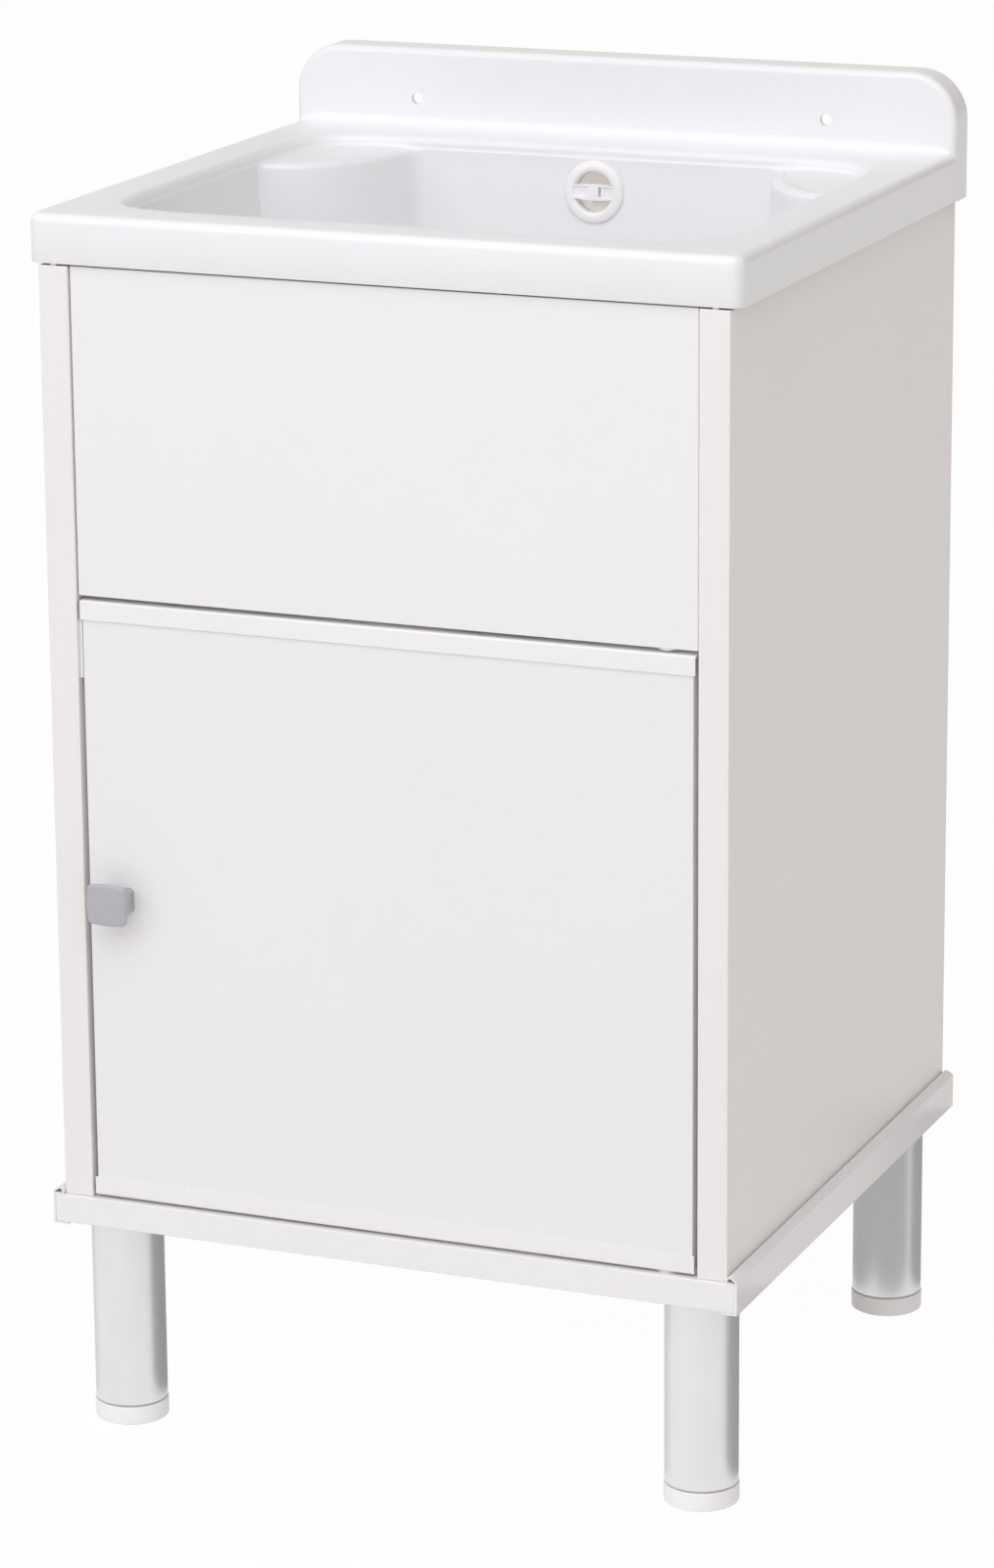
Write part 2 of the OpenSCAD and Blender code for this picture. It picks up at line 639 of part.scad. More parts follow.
module waste_body() color(pipe_white) translate([0, waste_y, waste_body_top]) difference() {
  foot = waste_thread_foot - waste_body_top;
  inlet = waste_inlet_z - waste_body_top;
  union() {
    difference() {
      union() {
        translate([0, 0, -4]) cylinder(h = 4, r = waste_flange_d / 2);
        translate([0, 0, -waste_cup_h]) cylinder(h = waste_cup_h, r = waste_cup_r);
        translate([0, 0, foot]) cylinder(h = -foot, r = waste_thread_r);
        translate([0, 0, inlet]) rotate([-90, 0, 0]) cylinder(h = waste_cup_r + spigot_len, r = spigot_r);
      }
      translate([0, 0, waste_cup_wall - waste_cup_h])
        cylinder(h = waste_cup_h, r = waste_cup_r - waste_cup_wall);
    }
    for (t = [0, 90]) rotate(t) translate([-waste_cup_r + 1, -1.2, -waste_cup_h])
      cube([2 * waste_cup_r - 2, 2.4, 10]);
    translate([0, 0, -waste_cup_h]) cylinder(h = 14, r = waste_screw_r + 3);
  }
  difference() {
    translate([0, 0, foot - 1]) cylinder(h = -foot - waste_cup_h + waste_cup_wall + 2, r = tail_r - 2);
    translate([0, 0, -waste_cup_h]) cylinder(h = 14, r = waste_screw_r + 3);
  }
  translate([0, 0, foot - 1]) cylinder(h = 17, r = tail_r + thread_fit);
  translate([0, 0, -waste_cup_h - 1]) cylinder(h = 20, r = waste_screw_r + running);
  translate([0, 0, inlet]) rotate([-90, 0, 0]) cylinder(h = waste_cup_r + spigot_len + 1, r = spigot_bore_r);
}

// Trap
module slip_nut(thread_r, pipe_r) difference() {
  union() {
    cylinder(h = nut_h, r = thread_r + nut_wall - 1.5);
    for (t = [0:30:330]) rotate(t) translate([thread_r + nut_wall - 1.5, 0, 0]) cylinder(h = nut_h, r = 1.8);
  }
  translate([0, 0, nut_lip]) cylinder(h = nut_h, r = thread_r + thread_fit);
  translate([0, 0, -1]) cylinder(h = nut_h, r = pipe_r + seat);
}

module tailpipe() color(pipe_white) translate([0, waste_y, trap_cup_foot + 16]) difference() {
  length = waste_thread_foot + 15 - trap_cup_foot - 16;
  cylinder(h = length, r = tail_r);
  translate([0, 0, -1]) cylinder(h = length + 2, r = tail_r - tail_wall);
}

module tailpipe_nut() color(pipe_white)
  translate([0, waste_y, waste_thread_foot - nut_lip - seat]) slip_nut(waste_thread_r, tail_r);

module trap_inlet_nut() color(pipe_white)
  translate([0, waste_y, trap_neck_top + nut_lip + seat]) mirror([0, 0, 1]) slip_nut(waste_thread_r, tail_r);

module trap_body() color(pipe_white) difference() {
  translate([0, waste_y, 0]) union() {
    translate([0, 0, trap_body_foot]) cylinder(h = trap_shoulder - trap_body_foot - 6, r = trap_r);
    translate([0, 0, trap_shoulder - 6]) cylinder(h = 6, r1 = trap_r, r2 = trap_r - 6);
    translate([0, 0, trap_shoulder - 1]) cylinder(h = trap_neck_h + 1, r = waste_thread_r);
    translate([0, 0, outlet_z]) rotate([-90, 0, 0])
      cylinder(h = outlet_neck_y - waste_y, r = outlet_thread_r);
    translate([0, 0, trap_body_foot - trap_collar_h])
      cylinder(h = trap_collar_h + 1, r = trap_r - trap_wall);
  }
  translate([0, waste_y, trap_body_foot - trap_collar_h - 1])
    cylinder(h = trap_shoulder - trap_body_foot + trap_collar_h - 6 - trap_wall, r = trap_r - 2 * trap_wall);
  translate([0, waste_y, trap_shoulder - 20]) cylinder(h = trap_neck_h + 21, r = tail_r + thread_fit);
  translate([0, waste_y + trap_r - trap_wall - 8, outlet_z]) rotate([-90, 0, 0])
    cylinder(h = 40, r = outlet_r - outlet_wall);
  translate([0, outlet_start, outlet_z]) rotate([-90, 0, 0]) cylinder(h = 40, r = outlet_r + thread_fit);
}

module trap_cup() color(pipe_white) translate([0, waste_y, trap_cup_foot]) difference() {
  h = trap_body_foot - trap_cup_foot;
  inner = trap_r - trap_wall + thread_fit;
  union() {
    rotate_extrude() polygon([
      [0, 0], [trap_r - 12, 0], [trap_r - 4, 3], [trap_r, 12], [trap_r, h - trap_collar_h],
      [trap_r + 3, h - trap_collar_h], [trap_r + 3, h], [0, h]]);
    for (t = [0:30:330]) rotate(t) translate([trap_r + 3, 0, h - trap_collar_h])
      cylinder(h = trap_collar_h, r = 1.6);
    translate([0, 0, -5]) cylinder(h = 6, r = 11, $fn = 6);
  }
  translate([0, 0, h - trap_collar_h - 1]) cylinder(h = trap_collar_h + 2, r = inner);
  translate([0, 0, 12]) cylinder(h = h, r = trap_r - 2 * trap_wall);
  translate([0, 0, 4]) cylinder(h = 9, r1 = trap_r - 14, r2 = trap_r - 2 * trap_wall);
}

module trap_outlet_nut() color(pipe_white) translate([0, outlet_neck_y + nut_lip + seat, outlet_z])
  rotate([90, 0, 0]) slip_nut(outlet_thread_r, outlet_r);

module trap_outlet_pipe() color(pipe_white) translate([0, outlet_start + seat, outlet_z]) rotate([-90, 0, 0])
  difference() {
    start = outlet_start + seat;
    length = back_y - start;
    union() {
      cylinder(h = outlet_bead_y - start + 1, r = outlet_r - seat);
      translate([0, 0, outlet_bead_y - start]) cylinder(h = outlet_bead, r = outlet_r + 1.5);
      translate([0, 0, outlet_bead_y - start + outlet_bead - 1])
        cylinder(h = back_y - outlet_bead_y - outlet_bead + 1, r = outlet_r);
    }
    translate([0, 0, -1]) cylinder(h = length + 2, r = outlet_r - outlet_wall);
  }

// Section of a hollow panel: a skin all round, with webs at even distances along w.
module panel_section(w, t) {
  cells = max(1, round((w - skin) / web_pitch));
  cell = (w - skin) / cells;
  difference() {
    square([w, t]);
    for (i = [0:cells - 1]) translate([i * cell + skin, skin]) square([cell - skin, t - 2 * skin]);
  }
}

// Hollow panel with its cells along Z: w runs along x and t along y.
module upright_panel(w, t, h) linear_extrude(h) panel_section(w, t);

// Hollow panel with its cells along X from x = 0: d runs along y and h along z.
module lying_panel(d, h, length) rotate([90, 0, 90]) linear_extrude(length)
  if (h > d) translate([d, 0]) rotate(90) panel_section(h, d);
  else panel_section(d, h);

module side_panel() translate([side_t, 0, 0]) rotate(90) upright_panel(cabinet_d, side_t, panel_h);
module left_side_panel() color(white) translate([-cabinet_w / 2, front_y, base_top]) side_panel();
module right_side_panel() color(white) translate([inner_x, front_y, base_top]) side_panel();

fascia_gap = 0.8;
fascia_back = front_y + fascia_set + fascia_t;
module front_fascia() color(white) difference() {
  translate([fascia_gap - inner_x, front_y + fascia_set, fascia_foot])
    lying_panel(fascia_t, fascia_h, 2 * (inner_x - fascia_gap));
  translate([pivot_x, pivot_y, fascia_foot - 1]) cylinder(h = skin + 2, r = bush_r);
}

module rear_rail(h, z) color(white)
  translate([seat - inner_x, back_y - rail_t, z]) lying_panel(rail_t, h, 2 * (inner_x - seat));
module upper_rear_rail() rear_rail(upper_rail_h, panel_top - upper_rail_h);
module lower_rear_rail() rear_rail(lower_rail_h, base_top);

// Base
base_half_w = cabinet_w / 2 + base_side;
module base_panel() color(white) difference() {
  translate([base_cap_wall - base_half_w, front_y - base_front, leg_h])
    lying_panel(cabinet_d + base_front, base_t, 2 * (base_half_w - base_cap_wall));
  translate([pivot_x, pivot_y, base_top - skin - 1]) cylinder(h = skin + 2, r = bush_r);
  at_legs() translate([0, 0, leg_h - 1]) cylinder(h = base_t + 2, r = leg_bolt_r + seat);
}

// Section of a base end cap seen from the front, outer face at x = 0: a U round the panel's end,
// with a hollow bead on top that fills the corner below the side panel.
module base_cap_section() {
  lip_z = base_t + base_cap_wall;
  square([base_cap_wall, lip_z + base_cap_wall / 2]);
  square([base_cap_lip, base_cap_wall]);
  difference() {
    base_bead(0);
    base_bead(1);
  }
}
module base_bead(inset) {
  width = base_side - seat;
  r = base_bead_h / 2;
  foot = base_t + base_cap_wall;
  hull() {
    translate([base_cap_wall, foot + base_cap_wall]) circle(base_cap_wall - inset);
    translate([inset, foot + inset]) square(base_cap_wall - inset);
    translate([width - r, foot + r]) circle(r - inset);
    translate([width - r, foot + inset]) square([r - inset, r - inset]);
  }
}
module base_cap() translate([-base_half_w, back_y, leg_h - base_cap_wall]) rotate([90, 0, 0])
  linear_extrude(cabinet_d + base_front) base_cap_section();
module base_left_cap() color(white) base_cap();
module base_right_cap() color(white) mirror([1, 0, 0]) base_cap();

// Angle bracket: its corner runs along z, with one leaf on x = 0 and one on y = 0.
module bracket() difference() {
  union() {
    cube([bracket_t, bracket_leg, bracket_w]);
    cube([bracket_leg, bracket_t, bracket_w]);
    for (z = [0, bracket_w - 2]) translate([0, 0, z]) linear_extrude(2)
      polygon([[0, 0], [bracket_leg, 0], [bracket_leg, bracket_t], [bracket_t, bracket_leg],
               [0, bracket_leg]]);
  }
  bracket_bores(bracket_screw_r + seat);
}
module bracket_bores(r) {
  translate([-1, bracket_leg * 0.6, bracket_w / 2]) rotate([0, 90, 0]) cylinder(h = bracket_t + 2, r = r);
  translate([bracket_leg * 0.6, -1, bracket_w / 2]) rotate([-90, 0, 0]) cylinder(h = bracket_t + 2, r = r);
}
module panhead_screw() {
  rotate([180, 0, 0]) cylinder(h = bracket_screw_len, r = bracket_screw_r);
  cylinder(h = 2, r1 = 3.4, r2 = 2.4);
}
module bracket_screw_pair() {
  translate([bracket_t, bracket_leg * 0.6, bracket_w / 2]) rotate([0, 90, 0]) panhead_screw();
  translate([bracket_leg * 0.6, bracket_t, bracket_w / 2]) rotate([-90, 0, 0]) panhead_screw();
}

// Twelve places: four on the base, four behind the fixed front, four before the rear rails.
bracket_back = back_y - rail_t;
fascia_bracket_zs = [fascia_foot + 12, fascia_foot + fascia_h * 0.6];
rail_bracket_zs = [base_top + (lower_rail_h - bracket_w) / 2, panel_top - (upper_rail_h + bracket_w) / 2];
module at_brackets() for (side = [0, 1]) mirror([side, 0, 0]) {
  for (y = [front_y + 85, back_y - 85]) translate([-inner_x, y, base_top]) rotate([90, 0, 0])
    translate([0, 0, -bracket_w / 2]) children();
  for (z = fascia_bracket_zs) translate([-inner_x, fascia_back, z]) children();
  for (z = rail_bracket_zs) translate([-inner_x, bracket_back, z]) mirror([0, 1, 0]) children();
}
module corner_brackets() color(pipe_white) at_brackets() bracket();
module bracket_screws() color(steel) at_brackets() bracket_screw_pair();

// Door
module door_panel() color(door_white)
  translate([-door_panel_w / 2, door_front, door_foot + door_cap_web]) difference() {
  upright_panel(door_panel_w, door_t, door_top - door_foot - 2 * door_cap_web);
  translate([knob_x + door_panel_w / 2, -1, knob_z - door_foot - door_cap_web]) rotate([-90, 0, 0])
    cylinder(h = door_t + 2, r = overflow_screw_r + seat);
}

// Section of a door cap seen from the end, as it sits on top: a U with soft upper edges.
module door_cap_section() {
  r = 1.8;
  difference() {
    union() {
      square([cap_depth, door_cap_h - r]);
      translate([r, 0]) square([cap_depth - 2 * r, door_cap_h]);
      for (x = [r, cap_depth - r]) translate([x, door_cap_h - r]) circle(r);
    }
    translate([door_cap_wall, -1]) square([cap_depth - 2 * door_cap_wall, door_cap_h - door_cap_web + 1]);
  }
}
module door_cap() difference() {
  union() {
    translate([-door_w / 2, cap_face, -door_cap_h])
      rotate([90, 0, 90]) linear_extrude(door_w) door_cap_section();
    translate([pivot_x, pivot_y, -boss_len]) cylinder(h = boss_len - door_cap_web / 2, r = boss_r);
  }
  translate([pivot_x, pivot_y, -boss_len - 1]) cylinder(h = boss_len + 2, r = pivot_r + running);
}
module door_top_cap() color(door_white) translate([0, 0, door_top]) door_cap();
module door_bottom_cap() color(door_white) translate([0, 0, door_foot]) mirror([0, 0, 1]) door_cap();

module upper_pivot_pin() color(steel) translate([pivot_x, pivot_y, door_top - boss_len])
  cylinder(h = boss_len + door_top_gap + bush_len - 2, r = pivot_r);
module lower_pivot_pin() color(steel) translate([pivot_x, pivot_y, base_top - bush_len + 2])
  cylinder(h = boss_len + door_foot_gap + bush_len - 2, r = pivot_r);

// Bush in a panel's skin, with its flange on the door's side.
module pivot_bush(flange_t) difference() {
  union() {
    cylinder(h = flange_t, r = bush_r + 2);
    translate([0, 0, -bush_len]) cylinder(h = bush_len + flange_t, r = bush_r - running);
  }
  translate([0, 0, -bush_len - 1]) cylinder(h = bush_len + flange_t + 2, r = pivot_r + running);
}
module upper_pivot_bush() color(pipe_white) translate([pivot_x, pivot_y, fascia_foot])
  mirror([0, 0, 1]) pivot_bush(1.2);
module lower_pivot_bush() color(pipe_white) translate([pivot_x, pivot_y, base_top])
  pivot_bush(door_foot_gap - seat);

// Knob: a square pad with slightly bulging sides and soft edges, on a square stem.
function pad_ring(inset, y) = [for (q = [0:90:270], u = [0, 16, 28, 36, 40, 43, 47, 50, 54, 62, 74])
  let (t = q + u, a = knob_w / 2 - inset, b = knob_h / 2 - inset, r = superellipse(t, a, b, 12),
       x = r * cos(t), z = r * sin(t))
    [knob_x + x * (1 - pad_bulge * z * z / (b * b)), y, knob_z + z * (1 - pad_bulge * x * x / (a * a))]];
knob_face = door_front - knob_out;
module door_knob() color(satin_grey) difference() {
  union() {
    ring_solid([pad_ring(4, knob_face), pad_ring(1.6, knob_face + 0.5), pad_ring(0.4, knob_face + 1.4),
                pad_ring(0, knob_face + 2.4), pad_ring(0.3, knob_face + knob_pad_t - 0.4),
                pad_ring(1, knob_face + knob_pad_t)]);
    translate([knob_x, knob_face + knob_pad_t - 0.5, knob_z]) rotate([-90, 0, 0])
      linear_extrude(knob_out - knob_pad_t + 0.5) rounded_square(knob_stem_w, knob_stem_h, 3);
  }
  translate([knob_x, door_front - 10, knob_z]) rotate([-90, 0, 0])
    cylinder(h = 11, r = overflow_screw_r + running);
}
module rounded_square(w, h, r) {
  square([w, h - 2 * r], center = true);
  square([w - 2 * r, h], center = true);
  for (x = [-1, 1], y = [-1, 1]) translate([x * (w / 2 - r), y * (h / 2 - r)]) circle(r);
}
module knob_screw() color(steel) translate([knob_x, door_front + door_t, knob_z]) rotate([-90, 0, 0]) {
  translate([0, 0, -door_t - 9]) cylinder(h = door_t + 9, r = overflow_screw_r);
  cylinder(h = 2, r1 = 4, r2 = 3);
}

// Catch: a leaf on the side panel that stops beside the door, and a block with a magnet behind it.
module catch_body() color(pipe_white) translate([-inner_x, 0, catch_top - catch_h]) difference() {
  union() {
    translate([0, catch_front, 0])
      cube([catch_leaf_t, magnet_front + catch_body_d + 12 - catch_front, catch_h]);
    translate([0, magnet_front, 0]) cube([catch_body_w + catch_leaf_t, catch_body_d, catch_h]);
  }
  translate([catch_leaf_t + 3, magnet_front - 1, 5]) cube([catch_body_w - 6, 9, catch_h - 10]);
}
module catch_magnet() color(satin_grey)
  translate([-inner_x + catch_leaf_t + 3 + seat, magnet_front + 0.2, catch_top - catch_h + 5 + seat])
  cube([catch_body_w - 6 - 2 * seat, 7.6, catch_h - 10 - 2 * seat]);
module catch_strike() color(steel)
  translate([-inner_x + catch_leaf_t + 2.5, door_front + door_t, catch_top - catch_h + 3])
  cube([strike_w, strike_t, catch_h - 6]);

// Legs
leg_places = [[-leg_x, leg_front_y], [leg_x, leg_front_y], [-leg_x, leg_rear_y], [leg_x, leg_rear_y]];
module at_legs() for (p = leg_places) translate([p[0], p[1], 0]) children();
module at_leg(i) translate([leg_places[i][0], leg_places[i][1], 0]) children();

module leg_tube(i) color(leg_grey) at_leg(i) translate([0, 0, tube_foot]) difference() {
  cylinder(h = leg_h - tube_foot, r = leg_r);
  translate([0, 0, -1]) cylinder(h = leg_h - tube_foot + 2, r = leg_r - leg_wall);
}
module leg_socket(i) color(pipe_white) at_leg(i) translate([0, 0, leg_h - socket_h]) difference() {
  cylinder(h = socket_h, r = plug_r);
  translate([0, 0, -1]) cylinder(h = socket_h + 2, r = leg_bolt_r + running);
}
module leg_insert(i) color(pipe_white) at_leg(i) translate([0, 0, foot_h]) difference() {
  union() {
    cylinder(h = foot_groove + 1, r = plug_r - 2.5);
    translate([0, 0, foot_groove]) cylinder(h = insert_h, r = plug_r);
  }
  translate([0, 0, -1]) cylinder(h = insert_h + foot_groove + 2, r = foot_screw_d / 2 + running);
}
module foot(i) color(white) at_leg(i) {
  rotate_extrude() polygon([[0, 0], [foot_r - 1.5, 0], [foot_r, 1.5], [foot_r, foot_h - 1],
                            [foot_r - 1, foot_h], [0, foot_h]]);
  cylinder(h = tube_foot + insert_h + foot_travel, r = foot_screw_d / 2);
}
module leg_bolts() color(steel) at_legs() translate([0, 0, base_top]) {
  difference() {
    cylinder(h = 1.5, r1 = 8.6, r2 = 6);
    for (t = [0, 90]) rotate(t) translate([-0.8, -4, 0.7]) cube([1.6, 8, 2]);
  }
  translate([0, 0, 4 - base_t - socket_h]) cylinder(h = base_t + socket_h - 3.5, r = leg_bolt_r);
}

tub();
overflow_rosette();
overflow_screw();
overflow_gasket();
overflow_elbow();
overflow_hose();
waste_flange();
waste_screw();
waste_gasket();
waste_body();
tailpipe();
tailpipe_nut();
trap_body();
trap_inlet_nut();
trap_cup();
trap_outlet_nut();
trap_outlet_pipe();
left_side_panel();
right_side_panel();
front_fascia();
upper_rear_rail();
lower_rear_rail();
base_panel();
base_left_cap();
base_right_cap();
corner_brackets();
bracket_screws();
door_panel();
door_top_cap();
door_bottom_cap();
door_knob();
knob_screw();
upper_pivot_pin();
lower_pivot_pin();
upper_pivot_bush();
lower_pivot_bush();
catch_body();
catch_magnet();
catch_strike();
leg_tube(0);  // leg_tube_front_left
leg_tube(1);  // leg_tube_front_right
leg_tube(2);  // leg_tube_rear_left
leg_tube(3);  // leg_tube_rear_right
leg_socket(0);  // leg_socket_front_left
leg_socket(1);  // leg_socket_front_right
leg_socket(2);  // leg_socket_rear_left
leg_socket(3);  // leg_socket_rear_right
leg_insert(0);  // leg_insert_front_left
leg_insert(1);  // leg_insert_front_right
leg_insert(2);  // leg_insert_rear_left
leg_insert(3);  // leg_insert_rear_right
foot(0);  // foot_front_left
foot(1);  // foot_front_right
foot(2);  // foot_rear_left
foot(3);  // foot_rear_right
leg_bolts();
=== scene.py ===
# %% [markdown]
# # A laundry sink cabinet
# This lesson dresses the imported model of a laundry sink: a glossy moulded tub on a cabinet of hollow
# extruded panels. Almost everything is white plastic, so the picture lives on three things: soft
# rounded edges that catch the light, finishes that differ a little from piece to piece, and lamps
# that let each side of the cabinet have its own grey, helped by painted shade on the side panels.
# The imported solids fix every size and place.

from math import acos, atan, atan2, cos, degrees, floor, pi, radians, sin, tan

import bmesh
import bpy
import numpy as np
from mathutils import Matrix, Vector


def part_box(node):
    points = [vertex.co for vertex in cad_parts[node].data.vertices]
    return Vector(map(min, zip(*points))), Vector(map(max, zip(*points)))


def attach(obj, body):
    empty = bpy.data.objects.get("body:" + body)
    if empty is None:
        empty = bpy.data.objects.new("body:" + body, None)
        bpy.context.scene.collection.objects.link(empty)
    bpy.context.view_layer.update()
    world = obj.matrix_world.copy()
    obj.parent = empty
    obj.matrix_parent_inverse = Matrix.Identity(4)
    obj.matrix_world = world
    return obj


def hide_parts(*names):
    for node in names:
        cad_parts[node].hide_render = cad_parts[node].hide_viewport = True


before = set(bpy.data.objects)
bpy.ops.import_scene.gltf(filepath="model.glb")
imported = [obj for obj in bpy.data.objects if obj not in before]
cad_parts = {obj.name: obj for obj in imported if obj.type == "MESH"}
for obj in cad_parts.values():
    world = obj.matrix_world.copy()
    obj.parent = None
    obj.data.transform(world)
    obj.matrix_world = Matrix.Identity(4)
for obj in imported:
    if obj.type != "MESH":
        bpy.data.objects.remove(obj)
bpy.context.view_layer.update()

# %% [markdown]
# ## Sizes
# The shapes below are written in millimetres, as on a drawing, and turned into metres only when a
# mesh is made. The numbers are those of the solids, so that each surface lies on the solid it dresses.

# %% Sizes of the tub and the cabinet
MM = 0.001
TUB_W, TUB_D, RIM_Z, SKIRT_H = 500.0, 460.0, 850.0, 33.0
TUB_WALL, TUB_CORNER, RIM_EDGE = 4.0, 10.0, 6.0
BACK_Y = 238.75
TUB_FRONT = BACK_Y - TUB_D
FRONT_Y = TUB_FRONT + 1.0
PANEL_TOP = RIM_Z - SKIRT_H - 1.2
SPLASH_T, SPLASH_H, SPLASH_R, SPLASH_EDGE = 27.0, 56.0, 34.0, 5.0
BOWL_A = 214.0
BOWL_FRONT, BOWL_REAR = TUB_FRONT + 39.0, BACK_Y - SPLASH_T - 45.0
BOWL_B, BOWL_Y = (BOWL_REAR - BOWL_FRONT) / 2, (BOWL_REAR + BOWL_FRONT) / 2
BOWL_TAPER, FLOOR_R, LIP_R = 12.0, 45.0, 5.0
SHELF_DROP, SHELF_X, SHELF_Y, SHELF_FALL, SHELF_EASE = 8.0, 74.0, 100.0, 1.2, 0.8
SHELF_SOFT, BOWL_POWER, COLUMN_BLEND = 4.0, 9, 16
FLOOR_Z = RIM_Z - 212.0
SHELF_Z = RIM_Z - SHELF_DROP
FILLET_Z = FLOOR_Z + 3.0 + FLOOR_R
RECESS, RECESS_R = 3.5, 40.5
SEAT_Z = FLOOR_Z - RECESS
WASTE_HOLE_R, OVERFLOW_HOLE_R = 26.0, 16.0
WALL_HOLE_R, WALL_HOLE_X, WALL_HOLE_UP = 4.25, 155.0, 20.0
RIB_X, RIB_T = 231.5, 4.0
NOTCH = atan2(144, 125)
print("bowl %.0f x %.0f mm, %.0f mm deep" % (2 * BOWL_A, 2 * BOWL_B, RIM_Z - FLOOR_Z))

# %% [markdown]
# ## From rings of points to a mesh
# Most surfaces here are lofts: a table of points, one row for each ring. One helper joins each ring
# to the next with four-sided faces. Others turn a profile about an axis, set a shape in its place,
# and make the object, which welds the points that coincide at poles, turns the faces outwards and
# marks the edges that are meant to look sharp. Each later cell then holds little but its formula.

# %% Lofts, turned shapes and objects
def loft(rings, wrap_rows=False, caps=False):
    """Points and faces of rings (rings, columns, 3); caps close the first and the last ring."""
    rows, columns = rings.shape[:2]
    i = np.arange(rows if wrap_rows else rows - 1)[:, None]
    j = np.arange(columns)[None, :]
    up, right = (i + 1) % rows, (j + 1) % columns
    cells = [i * columns + j, i * columns + right, up * columns + right, up * columns + j]
    faces = np.stack(cells, axis=-1).reshape(-1, 4).tolist()
    if caps:
        faces += [list(range(columns)), [(rows - 1) * columns + k for k in range(columns)]]
    return rings.reshape(-1, 3), faces


def turned(profile, sides=64, ribs=0, rib=0.0, rib_from=None):
    """A profile of (radius, height) carried round the z axis. Ribs add a bump to the radius, the cube
    of a raised cosine of the angle, wherever it is over rib_from or else near its largest."""
    profile = np.asarray(profile, float)
    if ribs:
        sides = ribs * 16
    t = np.linspace(0, 2 * pi, sides, endpoint=False)
    radius = np.repeat(profile[:, :1], sides, axis=1)
    if ribs:
        outside = radius > (0.985 * radius.max() if rib_from is None else rib_from)
        radius = radius + outside * rib * ((0.5 + 0.5 * np.cos(ribs * t)) ** 3)[None, :]
    height = np.repeat(profile[:, 1:2], sides, axis=1)
    rings = np.stack([radius * np.cos(t), radius * np.sin(t), height], axis=-1)
    return loft(rings, wrap_rows=profile[0, 0] > 0 and profile[-1, 0] > 0)


def placed(shape, tilt=0.0, at=(0, 0, 0)):
    """The shape tipped about the x axis by tilt degrees, then moved."""
    points, faces = shape
    c, s = cos(radians(tilt)), sin(radians(tilt))
    return points @ np.array([[1, 0, 0], [0, c, s], [0, -s, c]]) + np.asarray(at, float), faces


def linked(name, data):
    """An object that holds the data, linked into the scene."""
    thing = bpy.data.objects.new(name, data)
    bpy.context.scene.collection.objects.link(thing)
    return thing


def finished(name, mesh, sharp=35.0):
    """Object from a mesh: faces outwards, smooth, with edges over the sharp angle kept crisp."""
    form = bmesh.new()
    form.from_mesh(mesh)
    bmesh.ops.remove_doubles(form, verts=form.verts, dist=2e-6)
    bmesh.ops.recalc_face_normals(form, faces=form.faces)
    form.to_mesh(mesh)
    form.free()
    mesh.polygons.foreach_set("use_smooth", np.ones(len(mesh.polygons), bool))
    mesh.set_sharp_from_angle(angle=radians(sharp))
    return linked(name, mesh)


def make_piece(name, shapes, sharp=35.0):
    """One object from several (points, faces) in millimetres."""
    starts = np.cumsum([0] + [len(points) for points, _ in shapes])
    faces = [[k + start for k in face] for start, (_, own) in zip(starts, shapes) for face in own]
    mesh = bpy.data.meshes.new(name)
    mesh.from_pydata((np.concatenate([points for points, _ in shapes]) * MM).tolist(), [], faces)
    return finished(name, mesh, sharp)


print("two rings of four points are joined by", len(loft(np.zeros((2, 4, 3)))[1]), "faces")

# %% [markdown]
# ## Profiles with soft corners
# Moulded and turned pieces have no knife edges. A profile is drawn with plain corners, and each
# corner is then swapped for a short arc that meets both of its sides.

# %% Rounded profiles and blocks
def rounded(corners, radius, steps=5):
    """Each corner becomes an arc tangent to its two sides, no longer than half of the shorter one."""
    corners = np.asarray(corners, float)
    out = []
    for k, (here, r) in enumerate(zip(corners, np.broadcast_to(radius, len(corners)))):
        if r <= 0:
            out.append(here[None])
            continue
        back, ahead = corners[k - 1] - here, corners[(k + 1) % len(corners)] - here
        lengths = np.linalg.norm(back), np.linalg.norm(ahead)
        back, ahead = back / lengths[0], ahead / lengths[1]
        half = acos(np.clip(back @ ahead, -1, 1)) / 2
        reach = min(r / tan(half), 0.49 * min(lengths))
        middle = here + (back + ahead) / np.linalg.norm(back + ahead) * reach / cos(half)
        start, end = here + back * reach - middle, here + ahead * reach - middle
        t = np.linspace(0, atan2(start[0] * end[1] - start[1] * end[0], start @ end), steps + 1)
        out.append(middle + np.stack([start[0] * np.cos(t) - start[1] * np.sin(t),
                                      start[0] * np.sin(t) + start[1] * np.cos(t)], axis=-1))
    return np.concatenate(out)


def sleeve(inner, outer, low, high, soft=0.0, steps=3):
    """Profile between two radii and two heights: a tube, or a bar or disc where inner is 0."""
    return rounded([(inner, low), (outer, low), (outer, high), (inner, high)], soft, steps)


def quarter(count):
    """Angles from 0 to a right angle, in a count of equal steps."""
    return np.radians(np.linspace(0, 90, count + 1))


def quarter_round(radius, count):
    """Pairs of radius * (1 - sin t) and radius * (1 - cos t) for t from 0 to a right angle: how far a
    soft edge is still drawn in, and how far along it has come."""
    return [(radius * (1 - sin(t)), radius * (1 - cos(t))) for t in quarter(count)]


def at_height(ring, z):
    """The points of a flat ring, all at one height."""
    return np.column_stack([ring, np.full(len(ring), z)])


